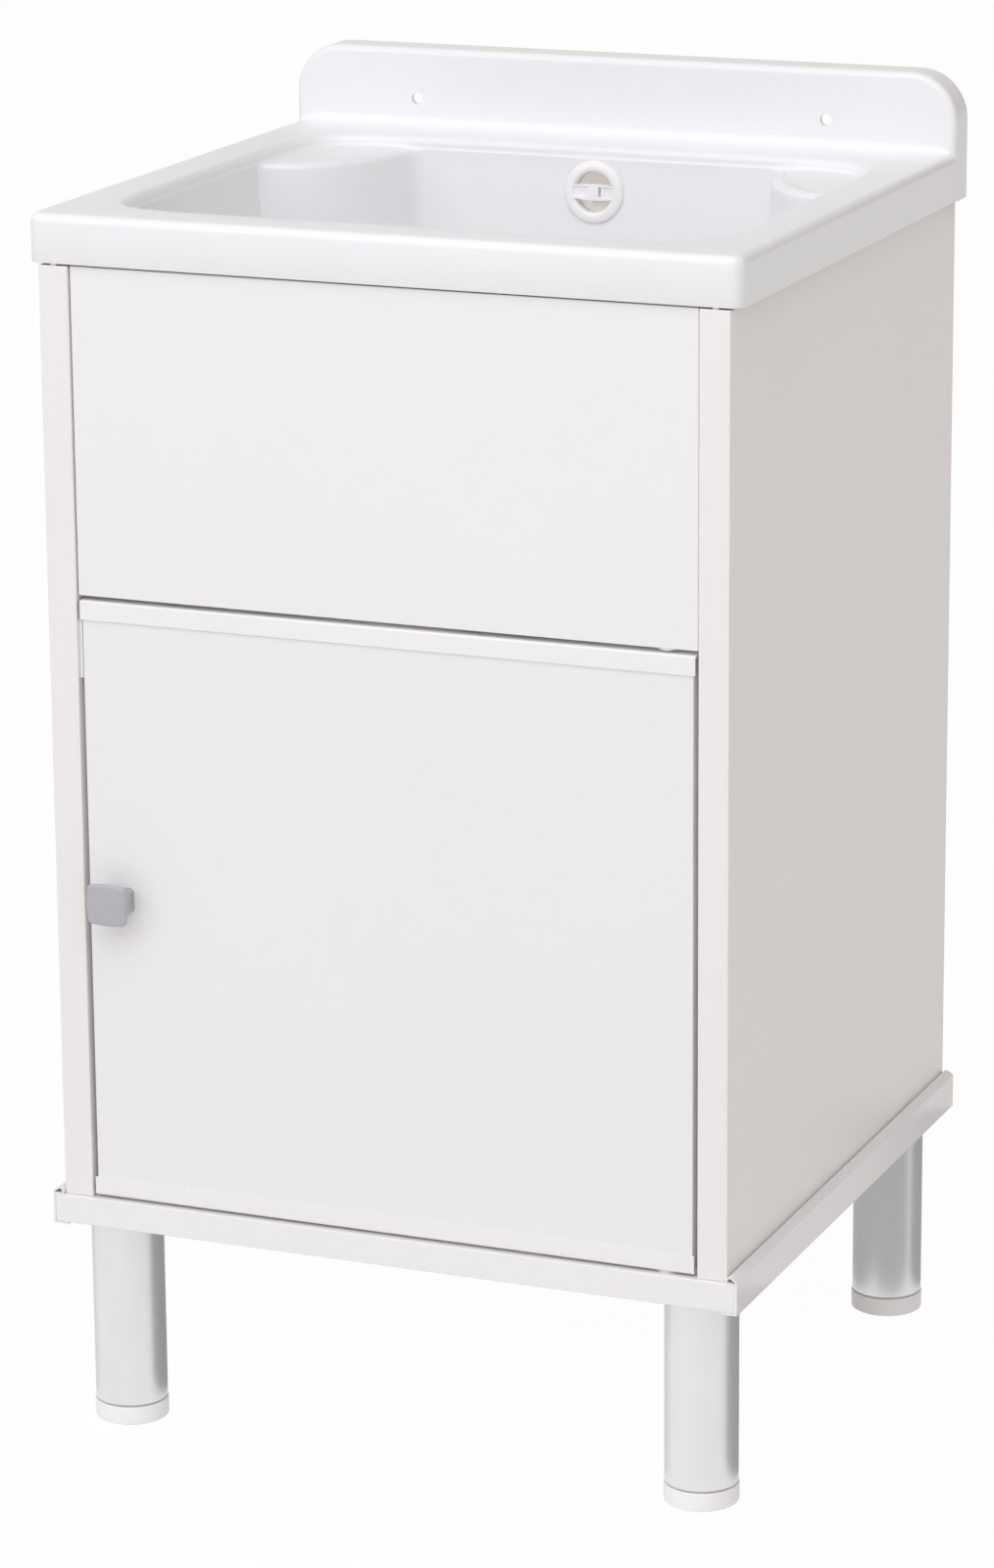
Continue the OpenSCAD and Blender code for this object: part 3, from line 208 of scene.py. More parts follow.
def block(xs, ys, zs, soft):
    """Box with soft corners: rounded rectangles that shrink towards both ends."""
    (x0, x1), (y0, y1), (z0, z1) = xs, ys, zs
    edge = quarter_round(soft, 3)
    rings = []
    for inset, z in [(inset, z0 + up) for inset, up in edge] + [(inset, z1 - up) for inset, up in edge[::-1]]:
        corners = [(x0 + inset, y0 + inset), (x1 - inset, y0 + inset), (x1 - inset, y1 - inset),
                   (x0 + inset, y1 - inset)]
        rings.append(at_height(rounded(corners, soft - inset + 1e-3, 3), z))
    return loft(np.array(rings), caps=True)


print("a rounded square has", len(rounded([(0, 0), (1, 0), (1, 1), (0, 1)], 0.2)), "points")

# %% [markdown]
# ## Shader maths in plain Python
# A finish is easier to read as a formula than as a web of nodes. The small class below holds one
# socket. Adding, subtracting or multiplying two of them adds the Math node that does it. Any other
# node comes from one method that is told its type, its settings and what goes into its sockets.

# %% A socket that takes part in arithmetic
class Wire:
    """One shader socket; arithmetic on it adds Math nodes to its tree."""

    def __init__(self, tree, socket):
        self.tree, self.socket = tree, socket

    def node(self, kind, settings=None, inputs=None, output=0):
        """Adds a node of a kind, applies its settings, fills its sockets and gives an output."""
        made = self.tree.nodes.new("ShaderNode" + kind)
        for key, value in (settings or {}).items():
            setattr(made, key, value)
        for key, value in (inputs or {}).items():
            if isinstance(value, Wire):
                self.tree.links.new(value.socket, made.inputs[key])
            else:
                made.inputs[key].default_value = value
        return Wire(self.tree, made.outputs[output])

    def maths(self, operation, *values, clamp=False):
        """A Math node on the values, in their order."""
        settings = {"operation": operation, "use_clamp": clamp}
        return self.node("Math", settings, dict(enumerate(values)))

    def __add__(self, other):
        return self.maths("ADD", self, other)

    def __sub__(self, other):
        return self.maths("SUBTRACT", self, other)

    def __rsub__(self, other):
        return self.maths("SUBTRACT", other, self)

    def __mul__(self, other):
        return self.maths("MULTIPLY", self, other)

    __radd__ = __add__

    def between(self, low, high):
        """0 at low, 1 at high, and held there outside."""
        return self.maths("MULTIPLY", self - low, 1.0 / (high - low), clamp=True)


def new_finish(name, colour, roughness, **sockets):
    """A Principled material; returns it with its shader node and the Object coordinates."""
    finish = bpy.data.materials.new(name)
    finish.use_nodes = True
    tree = finish.node_tree
    shader = next(n for n in tree.nodes if n.type == "BSDF_PRINCIPLED")
    shader.inputs["Base Color"].default_value = (*colour, 1)
    shader.inputs["Roughness"].default_value = roughness
    for key, value in sockets.items():
        shader.inputs[key.replace("_", " ").title().replace("Ior", "IOR")].default_value = value
    place = Wire(tree, None).node("TexCoord", output="Object")
    return finish, shader, place


def feed(shader, socket, wire):
    """Leads a wire into one of the shader's sockets."""
    wire.tree.links.new(wire.socket, shader.inputs[socket])


def noise(place, scale, detail=3.0, rough=0.5, stretch=None):
    """Noise on object coordinates; stretch scales each axis first, for marks that run one way."""
    if stretch:
        place = place.node("Mapping", None, {"Vector": place, "Scale": stretch})
    return place.node("TexNoise", None, {"Vector": place, "Scale": scale, "Detail": detail,
                                         "Roughness": rough})


def tinted(place, amount, dark, light):
    """Colour between two near shades, by a factor from 0 to 1."""
    settings = {"data_type": "RGBA"}
    return place.node("Mix", settings, {0: amount, 6: (*dark, 1), 7: (*light, 1)}, output=2)


def bumped(place, height, depth, strength):
    """Surface direction of a skin whose height runs over a depth in metres."""
    return place.node("Bump", None, {"Height": height, "Distance": depth, "Strength": strength})


def distance(place, centre, keep):
    """Length of the way from a centre to each point, along the axes that keep has as 1."""
    way = place.node("VectorMath", {"operation": "SUBTRACT"}, {0: place, 1: centre})
    way = way.node("VectorMath", {"operation": "MULTIPLY"}, {0: way, 1: keep})
    return way.node("VectorMath", {"operation": "LENGTH"}, {0: way}, output="Value")


print("finishes in the packed model:", len(bpy.data.materials))

# %% [markdown]
# ## The white plastics
# The tub is moulded and glossy: its skin has the very slight unevenness of a polished mould. The
# panels are extruded: they are a touch duller, with faint lines along the way they left the die, and
# a shadow of each inner web, where the skin sank as it cooled. Both are weak enough to be seen only
# in a reflection, which is how such plastic gives itself away.

# %% Moulded tub plastic
def tub_plastic():
    """A cloud tints the white, a finer one wears the gloss, and two noises ripple the skin."""
    finish, shader, place = new_finish("moulded_tub_plastic", (0.91, 0.91, 0.93), 0.32, ior=1.5)
    cloud = noise(place, 9.0, 2.0)
    feed(shader, "Base Color", tinted(place, cloud, (0.898, 0.896, 0.918), (0.924, 0.922, 0.942)))
    wiped = noise(place, 38.0, 4.0, 0.6)
    feed(shader, "Roughness", 0.28 + wiped * 0.08)
    skin = noise(place, 260.0, 1.0) * 0.7 + noise(place, 60.0, 1.0) * 0.6
    feed(shader, "Normal", bumped(place, skin, 0.00012, 0.35))
    return finish


# %% Extruded panel plastic, with its die lines along one axis
def panel_plastic(name, colour, along, web_axis, pitch, roughness=0.32):
    """Two near whites, faint lines along one axis, and a sine for the webs behind the skin."""
    finish, shader, place = new_finish(name, colour, roughness, ior=1.5)
    stretch = tuple(1.0 if axis == along else 55.0 for axis in "xyz")
    lines = noise(place, 4.0, 2.0, 0.6, stretch)
    cloud = noise(place, 5.0, 3.0)
    dark = tuple(c * 0.985 for c in colour)
    light = tuple(min(c * 1.012, 1) for c in colour)
    feed(shader, "Base Color", tinted(place, cloud, dark, light))
    feed(shader, "Roughness", (roughness - 0.05) + lines * 0.10)
    split = place.node("SeparateXYZ", None, {0: place}, output="xyz".index(web_axis))
    sink = place.maths("COSINE", split * (2 * pi / (pitch * MM)))
    height = lines * 0.5 + sink * 0.12 + noise(place, 300.0, 1.0) * 0.25
    feed(shader, "Normal", bumped(place, height, 0.00010, 0.30))
    return finish


TUB_FINISH = tub_plastic()
PANEL_WHITE = (0.905, 0.895, 0.905)
DOOR_WHITE = (0.895, 0.885, 0.895)
# Painted shade: the side panels' white is darker and warmer than the front's, for the shade on the cabinet's
# sides
SHADED_SIDE_FINISH = panel_plastic("extruded_side_plastic", (0.90, 0.875, 0.87), "z", "y", 30.5)
FASCIA_FINISH = panel_plastic("extruded_fascia_plastic", PANEL_WHITE, "x", "z", 31.5)
BASE_FINISH = panel_plastic("extruded_base_plastic", PANEL_WHITE, "x", "y", 30.7)
DOOR_FINISH = panel_plastic("extruded_door_plastic", DOOR_WHITE, "z", "x", 30.9)
CAP_FINISH = panel_plastic("extruded_cap_plastic", (0.915, 0.905, 0.910), "x", "z", 400.0, 0.33)
TRIM_FINISH = panel_plastic("extruded_trim_plastic", (0.915, 0.905, 0.910), "y", "z", 400.0, 0.33)
print("white plastics:", len([m for m in bpy.data.materials if "plastic" in m.name]))

# %% [markdown]
# ## The other finishes
# Waste fittings are satin polypropylene, a little creamier than the tub. The knob is a satin grey
# plastic with a fine grain. The legs are metal tube with a satin coat, which mirrors softly. Steel
# shows turning marks, and rubber is nearly black and dull. One recipe makes all that isn't steel,
# because such finishes differ in shade, gloss and grain, but not in kind.

# %% Satin plastics, rubber and steel
def satin_plastic(name, colour, roughness, grain=420.0, depth=0.00008, metallic=0.0):
    """Two near shades in a cloud, a roughness that wanders by 0.06 each way, and a fine grain."""
    finish, shader, place = new_finish(name, colour, roughness, ior=1.49, metallic=metallic)
    cloud = noise(place, 30.0, 3.0)
    dark, light = tuple(c * 0.96 for c in colour), tuple(min(c * 1.03, 1) for c in colour)
    feed(shader, "Base Color", tinted(place, cloud, dark, light))
    feed(shader, "Roughness", (roughness - 0.06) + noise(place, 90.0, 3.0) * 0.12)
    feed(shader, "Normal", bumped(place, noise(place, grain, 2.0), depth, 0.4))
    return finish


def steel(name, colour, roughness, centre=None):
    """Metal with fine rings about an upright axis through centre, or fine grit where it has none."""
    finish, shader, place = new_finish(name, colour, roughness, metallic=1.0)
    if centre:
        rings = {"W": distance(place, (*centre, 0.0), (1.0, 1.0, 0.0)), "Scale": 2600.0, "Detail": 2.0}
        grit = place.node("TexNoise", {"noise_dimensions": "1D"}, rings)
    else:
        grit = noise(place, 700.0, 2.0)
    feed(shader, "Roughness", (roughness - 0.08) + grit * 0.16)
    feed(shader, "Base Color", tinted(place, grit, tuple(c * 0.90 for c in colour), colour))
    feed(shader, "Normal", bumped(place, grit, 0.00003, 0.3))
    return finish


PIPE_FINISH = satin_plastic("white_pipe_plastic", (0.90, 0.90, 0.885), 0.34)
ROSETTE_FINISH = satin_plastic("rosette_plastic", (0.95, 0.945, 0.945), 0.24)
HOSE_FINISH = satin_plastic("ribbed_hose_plastic", (0.86, 0.86, 0.85), 0.42)
FITTING_FINISH = satin_plastic("fitting_plastic", (0.89, 0.89, 0.89), 0.36)
FOOT_FINISH = satin_plastic("foot_plastic", (0.95, 0.945, 0.95), 0.34)
LEG_FINISH = satin_plastic("leg_tube_metal", (0.825, 0.82, 0.825), 0.37, 30.0, 0.00001, metallic=0.85)
KNOB_FINISH = satin_plastic("knob_grey_plastic", (0.475, 0.47, 0.495), 0.34, 900.0, 0.00004)
RUBBER_FINISH = satin_plastic("black_rubber", (0.03, 0.03, 0.03), 0.75)
MAGNET_FINISH = satin_plastic("magnet_ferrite", (0.08, 0.08, 0.085), 0.55)
STEEL_FINISH = steel("stainless_steel", (0.70, 0.70, 0.70), 0.22, (0.0, BOWL_Y * MM))
ZINC_FINISH = steel("zinc_plated_steel", (0.62, 0.63, 0.65), 0.36)


def dress(piece, finish, stands_for, body="cabinet"):
    """Gives a piece its finish, puts it on its body, and hides the solids it stands for."""
    piece.data.materials.clear()
    piece.data.materials.append(finish)
    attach(piece, body)
    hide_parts(*stands_for)
    return piece


print("finishes in all:", len(bpy.data.materials))

# %% [markdown]
# ## The tub
# The tub is one skin: from the drain, up the bowl's walls, over the lip and the deck, down the
# skirt, and back underneath. Each ring of that skin has one point for each direction from the
# bowl's middle. Outside, the ring is a rounded rectangle. Inside, the distance to the wall is a
# superellipse, and in each rear corner a quarter ellipse cuts it short: that is the column that
# carries a soap shelf. Going from one to the other by the height alone gives the shelf itself.

# %% Outlines of the skirt and of the bowl
def rectangle_ring(width, depth, radii, corner_steps=10, side_steps=140):
    """Four arcs joined by even straight runs, starting at the right end of the right rear arc."""
    arcs = []
    for k, radius in enumerate(np.broadcast_to(radii, 4)):
        sx, sy = (1, -1, -1, 1)[k], (1, 1, -1, -1)[k]
        centre = np.array([sx * (width / 2 - radius), sy * (depth / 2 - radius)])
        t = np.radians(90 * k + np.linspace(0, 90, corner_steps + 1))
        arcs.append(centre + radius * np.stack([np.cos(t), np.sin(t)], axis=-1))
    run = np.linspace(0, 1, side_steps + 1)[1:-1, None]
    runs = [arcs[k][-1] + (arcs[(k + 1) % 4][0] - arcs[k][-1]) * run for k in range(4)]
    return np.concatenate([part for pair in zip(arcs, runs) for part in pair])


TUB_Y = TUB_FRONT + TUB_D / 2
CORNERS = np.array([1.5, 1.5, TUB_CORNER, TUB_CORNER])
skirt = rectangle_ring(TUB_W, TUB_D, CORNERS) + (0, TUB_Y)
BEARING = np.arctan2(skirt[:, 1] - BOWL_Y, skirt[:, 0])


def superellipse(t, a, b, power):
    """Distance from the middle to the curve |x/a|^n + |y/b|^n = 1, in the direction t."""
    return ((np.abs(np.cos(t)) / a) ** power + (np.abs(np.sin(t)) / b) ** power) ** (-1 / power)


def column_distance(t, grow):
    """Distance to the ellipse round the nearer rear corner, or far away where the ray misses it."""
    x, y = np.where(np.cos(t) < 0, -BOWL_A, BOWL_A), BOWL_B
    a, b = SHELF_X + grow, SHELF_Y + grow
    p = (np.cos(t) / a) ** 2 + (np.sin(t) / b) ** 2
    q = np.cos(t) * x / a ** 2 + np.sin(t) * y / b ** 2
    s = q ** 2 - p * ((x / a) ** 2 + (y / b) ** 2 - 1)
    hit = (s > 0) & (q > 0)
    return np.where(hit, (q - np.sqrt(np.where(hit, s, 0))) / p, 900.0)


def bowl_reach(inset, columns):
    """Wall distance for every bearing; columns runs from 0, none, to 1, full ones. It is the lesser of
    wall and column, less a square that rounds the corner between them over the blend."""
    wall = superellipse(BEARING, BOWL_A - inset, BOWL_B - inset, BOWL_POWER)
    column = column_distance(BEARING, inset)
    both = np.maximum(COLUMN_BLEND - np.abs(wall - column), 0)
    held = np.minimum(wall, column) - both ** 2 / (4 * COLUMN_BLEND)
    return wall + (held - wall) * columns


def ring_at(reach, z):
    """Points at a distance from the bowl's middle for every bearing, at one height or several."""
    z = np.broadcast_to(z, BEARING.shape)
    return np.stack([reach * np.cos(BEARING), BOWL_Y + reach * np.sin(BEARING), z], axis=-1)


def bowl_ring(inset, z, columns=1.0):
    """The bowl's wall at one height."""
    return ring_at(bowl_reach(inset, columns), z)


def round_ring(radius, z):
    """A circle about the bowl's middle."""
    return ring_at(np.full_like(BEARING, radius), z)


def skirt_ring(inset, z):
    """The skirt lies a hair inside the tub's box, so that the splashback's cheeks stand out."""
    inset = inset + 0.15
    radii = np.maximum(CORNERS - inset, 1)
    return at_height(rectangle_ring(TUB_W - 2 * inset, TUB_D - 2 * inset, radii) + (0, TUB_Y), z)


print("each ring of the tub has", len(BEARING), "points")


# %% The tub's skin, ring by ring
def shelf_edge(t, soft=SHELF_SOFT):
    """Soft edge of a soap shelf: a quarter turn from column to shelf, where a column stands."""
    wall, held = bowl_reach(SHELF_EASE, 0.0), bowl_reach(SHELF_EASE, 1.0)
    stands = np.clip((wall - held) / (2 * soft), 0, 1)
    z = SHELF_Z - SHELF_FALL - soft * (1 - sin(t))
    return ring_at(held + stands * soft * (1 - cos(t)), z)


def shelf_start(u, soft=SHELF_SOFT, width=6.0):
    """Distances across the low lip along a shelf's edge, and how fully the lip stands there."""
    wall, held = bowl_reach(SHELF_EASE, 0.0), bowl_reach(SHELF_EASE, 1.0)
    stands = np.clip((wall - held - soft) / 20, 0, 1)
    return held + np.clip((wall - held) / (2 * soft), 0, 1) * soft + stands * width * u, stands


def shelf_lip(u, height=1.1, notch=0.022):
    """The lip is half a sine wave high, and dips to the shelf at one drain notch on each side."""
    reach, stands = shelf_start(u)
    away = np.abs(np.abs(BEARING - pi / 2) - NOTCH)
    dips = 1 - np.exp(-(away / notch) ** 2)
    return ring_at(reach, SHELF_Z - SHELF_FALL + stands * dips * height * sin(pi * u))


def shelf_ring(s):
    """From the lip, s = 0, the shelf rises slightly to the wall, s = 1."""
    reach, _ = shelf_start(1.0)
    wall = bowl_reach(SHELF_EASE * (1 - s / 2), 0.0)
    return ring_at(reach + (wall - reach) * s, SHELF_Z - SHELF_FALL * (1 - s))


def tub_rings():
    """Rings of the closed skin, from the drain up, over the rim and back underneath."""
    drain = [round_ring(radius, z) for radius, z in [
        (WASTE_HOLE_R, SEAT_Z), (RECESS_R - 0.6, SEAT_Z), (RECESS_R, SEAT_Z + 0.6),
        (RECESS_R + 0.7, FLOOR_Z - 0.7), (RECESS_R + 1.8, FLOOR_Z + 0.1)]]
    hollow = [bowl_ring(BOWL_TAPER + FLOOR_R * (1 - sin(t)), FILLET_Z - FLOOR_R * cos(t))
              for t in quarter(14)]
    bottom = [drain[-1] * (1 - s) + hollow[0] * s for s in (0.25, 0.5, 0.75)]
    top = SHELF_Z - SHELF_FALL - SHELF_SOFT
    wall = [bowl_ring(BOWL_TAPER + (SHELF_EASE - BOWL_TAPER) * s, FILLET_Z + (top - FILLET_Z) * s)
            for s in np.linspace(0, 1, 15)[1:-1]]
    edge = [shelf_edge(t) for t in quarter(6)]
    front = [shelf_lip(u) for u in np.linspace(0, 1, 9)[1:]]
    shelf = [shelf_ring(s) for s in (0.2, 0.4, 0.6, 0.8, 0.92)]
    cove = [bowl_ring(SHELF_EASE / 2 * (1 - s), SHELF_Z + 2.0 * s * s, 0.08 * (1 - s) ** 2)
            for s in (0.35, 0.7, 1.0)]
    lip = [bowl_ring(-out, RIM_Z - drop, 0.0) for drop, out in quarter_round(LIP_R, 8)]
    rim = [skirt_ring(inset, RIM_Z - drop) for inset, drop in quarter_round(RIM_EDGE, 10)]
    foot = RIM_Z - SKIRT_H
    hem = [skirt_ring(inset, z) for inset, z in [
        (0, foot + 0.8), (0.25, foot + 0.25), (0.8, foot), (TUB_WALL - 0.6, foot), (TUB_WALL, foot + 0.6),
        (TUB_WALL, RIM_Z - TUB_WALL)]]
    under = [bowl_ring(inset, z - TUB_WALL, columns) for inset, z, columns in [
        (-TUB_WALL, RIM_Z, 0.0), (-TUB_WALL, SHELF_Z, 0.0),
        (SHELF_EASE - TUB_WALL, SHELF_Z - SHELF_FALL, 1.0)]]
    outer = [bowl_ring(BOWL_TAPER + FLOOR_R - (FLOOR_R + TUB_WALL) * sin(t),
                       FILLET_Z - (FLOOR_R + TUB_WALL) * cos(t)) for t in quarter(8)[::-1]]
    last = [round_ring(radius, SEAT_Z - TUB_WALL) for radius in (RECESS_R + 1 + TUB_WALL, WASTE_HOLE_R)]
    inside = drain + bottom + hollow + wall + edge + front + shelf + cove + lip
    return np.array(inside + rim + hem + under + outer + last)


basin = make_piece("basin", [loft(tub_rings(), wrap_rows=True)])
print("basin:", len(basin.data.polygons), "faces")

# %% [markdown]
# ## The splashback
# Seen from the front the splashback is an arch with rounded upper corners. Its section is a thin
# shell: a flat front, an edge that rolls back to the wall, and nothing behind. The same arch at
# several insets gives the front's margin, the roll, the rim at the wall and the hollow. At each end
# a narrow cheek goes on down past the deck to the skirt's foot, as the moulding's own side does. A
# small cove, as every moulding has, runs along the line where the deck turns up.

# %% The splashback's shell and the cove at its foot
SPLASH_FRONT = BACK_Y - SPLASH_T


def arch(inset, y, foot, deck=None):
    """Arch outline from foot to foot at one depth; inset shrinks it on three sides. Each foot is a
    narrow cheek, and between the cheeks the outline is closed at the height of the deck."""
    x, top, r = TUB_W / 2 - inset, RIM_Z + SPLASH_H - inset, max(SPLASH_R - inset, 1.0)
    deck = foot if deck is None else deck
    inner = min(TUB_W / 2 - TUB_WALL + 0.4, x - 0.2)
    t = quarter(16)
    side = np.linspace(foot, top - r, 6)[:-1]
    over = np.linspace(x - r, r - x, 40)[1:-1]
    plane = np.concatenate([
        [(inner, deck), (inner, foot)],
        np.column_stack([np.full(5, x), side]),
        np.column_stack([x - r + r * np.cos(t), top - r + r * np.sin(t)]),
        np.column_stack([over, np.full(len(over), top)]),
        np.column_stack([r - x - r * np.sin(t), top - r + r * np.cos(t)]),
        np.column_stack([np.full(5, -x), side[::-1]]),
        [(-inner, foot), (-inner, deck)]])
    return np.column_stack([plane[:, 0], np.full(len(plane), y), plane[:, 1]])


def splash_rings():
    """The arch from the front's margin over the roll to the wall, then back inside as the hollow."""
    roll = [(inset, SPLASH_FRONT + along) for inset, along in quarter_round(SPLASH_EDGE, 8)]
    outside = [(SPLASH_EDGE + 1.0, SPLASH_FRONT)] + roll + [(0, BACK_Y - 0.5), (0.5, BACK_Y)]
    hollow = [(TUB_WALL - 0.5, BACK_Y), (TUB_WALL, BACK_Y - 0.5), (TUB_WALL, SPLASH_FRONT + TUB_WALL)]
    foot, deck = RIM_Z - SKIRT_H, RIM_Z - TUB_WALL + 0.1
    return np.array([arch(inset, y, foot, deck) for inset, y in outside] +
                    [arch(inset, y, RIM_Z + 1) for inset, y in hollow])


def cove_rings(radius=7.0):
    """Concave quarter turn between deck and splashback, which fades out before the tub's sides."""
    x = np.linspace(-TUB_W / 2 + 4, TUB_W / 2 - 4, 90)
    size = radius * np.clip((TUB_W / 2 - 2 - np.abs(x)) / 14, 0.05, 1) ** 0.5
    t = quarter(8)
    y = np.concatenate([-1 + np.sin(t), [0.4, 0.4, -1]])
    z = np.concatenate([1 - np.cos(t), [1, -0.3, -0.3]])
    return np.stack([np.repeat(x[:, None], len(y), 1), SPLASH_FRONT + size[:, None] * y,
                     RIM_Z + size[:, None] * z], axis=-1)


splash = make_piece("splash", [loft(splash_rings(), caps=True)])
cove = make_piece("cove", [loft(cove_rings(), caps=True)])
print("splashback:", len(splash.data.polygons), "faces")

# %% [markdown]
# ## Holes
# A drilled hole is cut with a plug: a turned cylinder, a little longer than the wall is thick. The
# tub has four: one for the waste, one for the overflow, and two that take the wall screws.

# %% Drilling, and joining what is one moulding
def drilled(piece, plugs):
    """Cuts the plugs out of the piece, keeps the result as its mesh, and removes the plugs."""
    for plug in plugs:
        cut = piece.modifiers.new("hole", "BOOLEAN")
        cut.operation, cut.solver, cut.object = "DIFFERENCE", "EXACT", plug
    cut_piece = piece.evaluated_get(bpy.context.evaluated_depsgraph_get())
    settled = bpy.data.meshes.new_from_object(cut_piece)
    piece.modifiers.clear()
    piece.data = settled
    for plug in plugs:
        bpy.data.objects.remove(plug)
    return piece


def joined(name, parts):
    """One mesh from several, each part keeping its own shape."""
    form = bmesh.new()
    for part in parts:
        form.from_mesh(part.data)
        bpy.data.objects.remove(part)
    mesh = bpy.data.meshes.new(name)
    form.to_mesh(mesh)
    form.free()
    return finished(name, mesh)


def plug(radius, low, high, **where):
    """A round bar from low to high along its own axis, set where the hole goes."""
    return make_piece("plug", [placed(turned(sleeve(0, radius, low, high)), **where)])


# The wall's lean, and where the overflow's axis meets the wall, 32 mm under the rim
LEAN = degrees(atan((BOWL_TAPER - SHELF_EASE) / (SHELF_Z - FILLET_Z - SHELF_FALL)))
OVER_Z = RIM_Z - 32.0
OVER_Y = BOWL_Y + BOWL_B - SHELF_EASE - (SHELF_Z - SHELF_FALL - OVER_Z) * tan(radians(LEAN))
OVERFLOW = {"tilt": 90 - LEAN, "at": (0, OVER_Y, OVER_Z)}
drilled(basin, [plug(WASTE_HOLE_R, FLOOR_Z - 12, FLOOR_Z + 2, at=(0, BOWL_Y, 0)),
                plug(OVERFLOW_HOLE_R, -12, 6, **OVERFLOW)])
drilled(splash, [plug(WALL_HOLE_R, -3, 8, tilt=-90, at=(x, SPLASH_FRONT, RIM_Z + WALL_HOLE_UP))
                 for x in (-WALL_HOLE_X, WALL_HOLE_X)])
ribs = [block((x - RIB_T / 2, x + RIB_T / 2), (TUB_FRONT + 2, BACK_Y - 2), (PANEL_TOP, RIM_Z - 2), 0.5)
        for x in (-RIB_X, RIB_X)]
tub = joined("tub_moulding", [basin, splash, cove, make_piece("ribs", ribs)])
dress(tub, TUB_FINISH, stands_for=["tub"])
print("tub:", len(tub.data.polygons), "faces")

# %% [markdown]
# ## Overflow and waste
# These are turned or moulded fittings. The overflow's rosette is a domed ring with a bar across, set
# square to the bowl's wall, which leans by about four degrees. Below it all, a ribbed hose brings
# the overflow's water to the waste: its radius swells and shrinks along a path that hangs straight
# down, takes a quarter bend, and runs forward.

# %% The overflow's rosette
HOLE = 14.5
dome = quarter(6)
ring_profile = np.concatenate([
    [(HOLE, -4.0), (15.7, -4.0), (15.7, 0.02), (22.0, 0.02), (22.0, 0.6)],
    np.column_stack([16.9 + 5.1 * np.cos(dome), 0.6 + 2.4 * np.sin(dome)]),
    [(15.9, 2.85), (15.1, 2.4), (14.65, 1.9), (HOLE, 1.3)]])
ring = make_piece("ring", [placed(turned(ring_profile, sides=96), **OVERFLOW)])


def bar_rings(height=11.5, back=-1.5, face=2.6, soft=0.5):
    """Cross bar: two shallow parabolas make it fullest at its middle; its ends sink into the ring."""
    rings = []
    for t, z in [(pi / 2, back)] + [(t, face - soft * (1 - sin(t))) for t in quarter(4)]:
        x = np.linspace(-HOLE - 0.6, HOLE + 0.6, 41)
        half = height / 2 - (x / HOLE) ** 2 - soft * (1 - cos(pi / 2 - t))
        ring = np.column_stack([np.append(x, x[::-1]), np.append(-half, half[::-1])])
        rings.append(at_height(ring, z))
    return np.array(rings)


# The round hub is what the two fields leave standing; the slot is at its right
HUB = 3.75
bar = make_piece("bar", [placed(loft(bar_rings(), caps=True), **OVERFLOW)])
fields = [block(sorted((end * HUB, end * (HOLE + 3))), (-HUB, HUB), (1.6, 5), 0.4) for end in (-1, 1)]
slot = block((HUB, HUB + 2), (-3.25, 3.25), (-4, 5), 0.3)
drilled(bar, [make_piece("plug", [placed(shape, **OVERFLOW)]) for shape in fields + [slot]])
rosette = joined("overflow_ring", [ring, bar])
dress(rosette, ROSETTE_FINISH, stands_for=["overflow_rosette"])
print("rosette on the wall at y %.1f, leaning %.1f degrees" % (OVER_Y, LEAN))

# %% The hose's ribs along its path
# How far behind the wall's face the gasket's back lies, where the elbow begins
BACK = TUB_WALL + 0.35 + 2.5
HOSE_Y = OVER_Y + (BACK + 3 + 12) * cos(radians(LEAN))
HOSE_TOP = OVER_Z - 17 - (BACK + 3 + 24) * sin(radians(LEAN)) - 0.3
INLET_Z, BEND = SEAT_Z - TUB_WALL - 3 - 26, 45.0
CREST, ROOT, BORE, PITCH = 12.5, 10.5, 8.4, 5.0
HOSE_END = BOWL_Y + 30 + 0.3


def hose_path(s):
    """Place and direction at a distance along the hose: down, round a quarter turn, then forward."""
    down = HOSE_TOP - INLET_Z - BEND
    t = np.clip((s - down) / BEND, 0, pi / 2)
    after = np.maximum(s - down - BEND * pi / 2, 0)
    y = HOSE_Y - BEND * (1 - np.cos(t)) - after
    z = HOSE_TOP - np.minimum(s, down) - BEND * np.sin(t)
    return y, z, t


def hose_shell():
    """Rings round the path; the radius is a raised cosine of the length between plain cuffs."""
    length = HOSE_TOP - INLET_Z - BEND + BEND * pi / 2 + HOSE_Y - BEND - HOSE_END
    ribs = floor((length - 40) / PITCH)
    lead = (length - ribs * PITCH) / 2
    ribbed = lead + np.arange(1, ribs * 8) * PITCH / 8
    s = np.concatenate([[0, 0.5, lead], ribbed, [length - lead, length - 0.5, length]])
    wave = (0.5 - 0.5 * np.cos((s - lead) / PITCH * 2 * pi)) ** 0.7
    wave[(s <= lead) | (s >= length - lead)] = 0
    radius = ROOT + (CREST - ROOT) * wave
    radius[0] = radius[-1] = ROOT - 0.3
    inner = np.linspace(length, 0, 90)
    s, radius = np.concatenate([s, inner]), np.concatenate([radius, np.full(90, BORE)])
    y, z, t = hose_path(s)
    a = np.linspace(0, 2 * pi, 40, endpoint=False)
    across, up = radius[:, None] * np.cos(a), radius[:, None] * np.sin(a)
    rings = np.stack([across, y[:, None] + up * np.cos(t)[:, None],
                      z[:, None] - up * np.sin(t)[:, None]], axis=-1)
    print("hose: %.0f mm long with %d ribs" % (length, ribs))
    return loft(rings, wrap_rows=True)


hose = make_piece("ribbed_hose", [hose_shell()], sharp=60)
dress(hose, HOSE_FINISH, stands_for=["overflow_hose"])

# %% [markdown]
# ## The bore behind the rosette
# Between the rosette's bar and its ring one looks into the elbow. In the photograph that bore is a
# warm grey and not black, because light gets through the thin white wall. Following such light takes
# a long render, so here the bore's own surface glows faintly, and only within its radius.

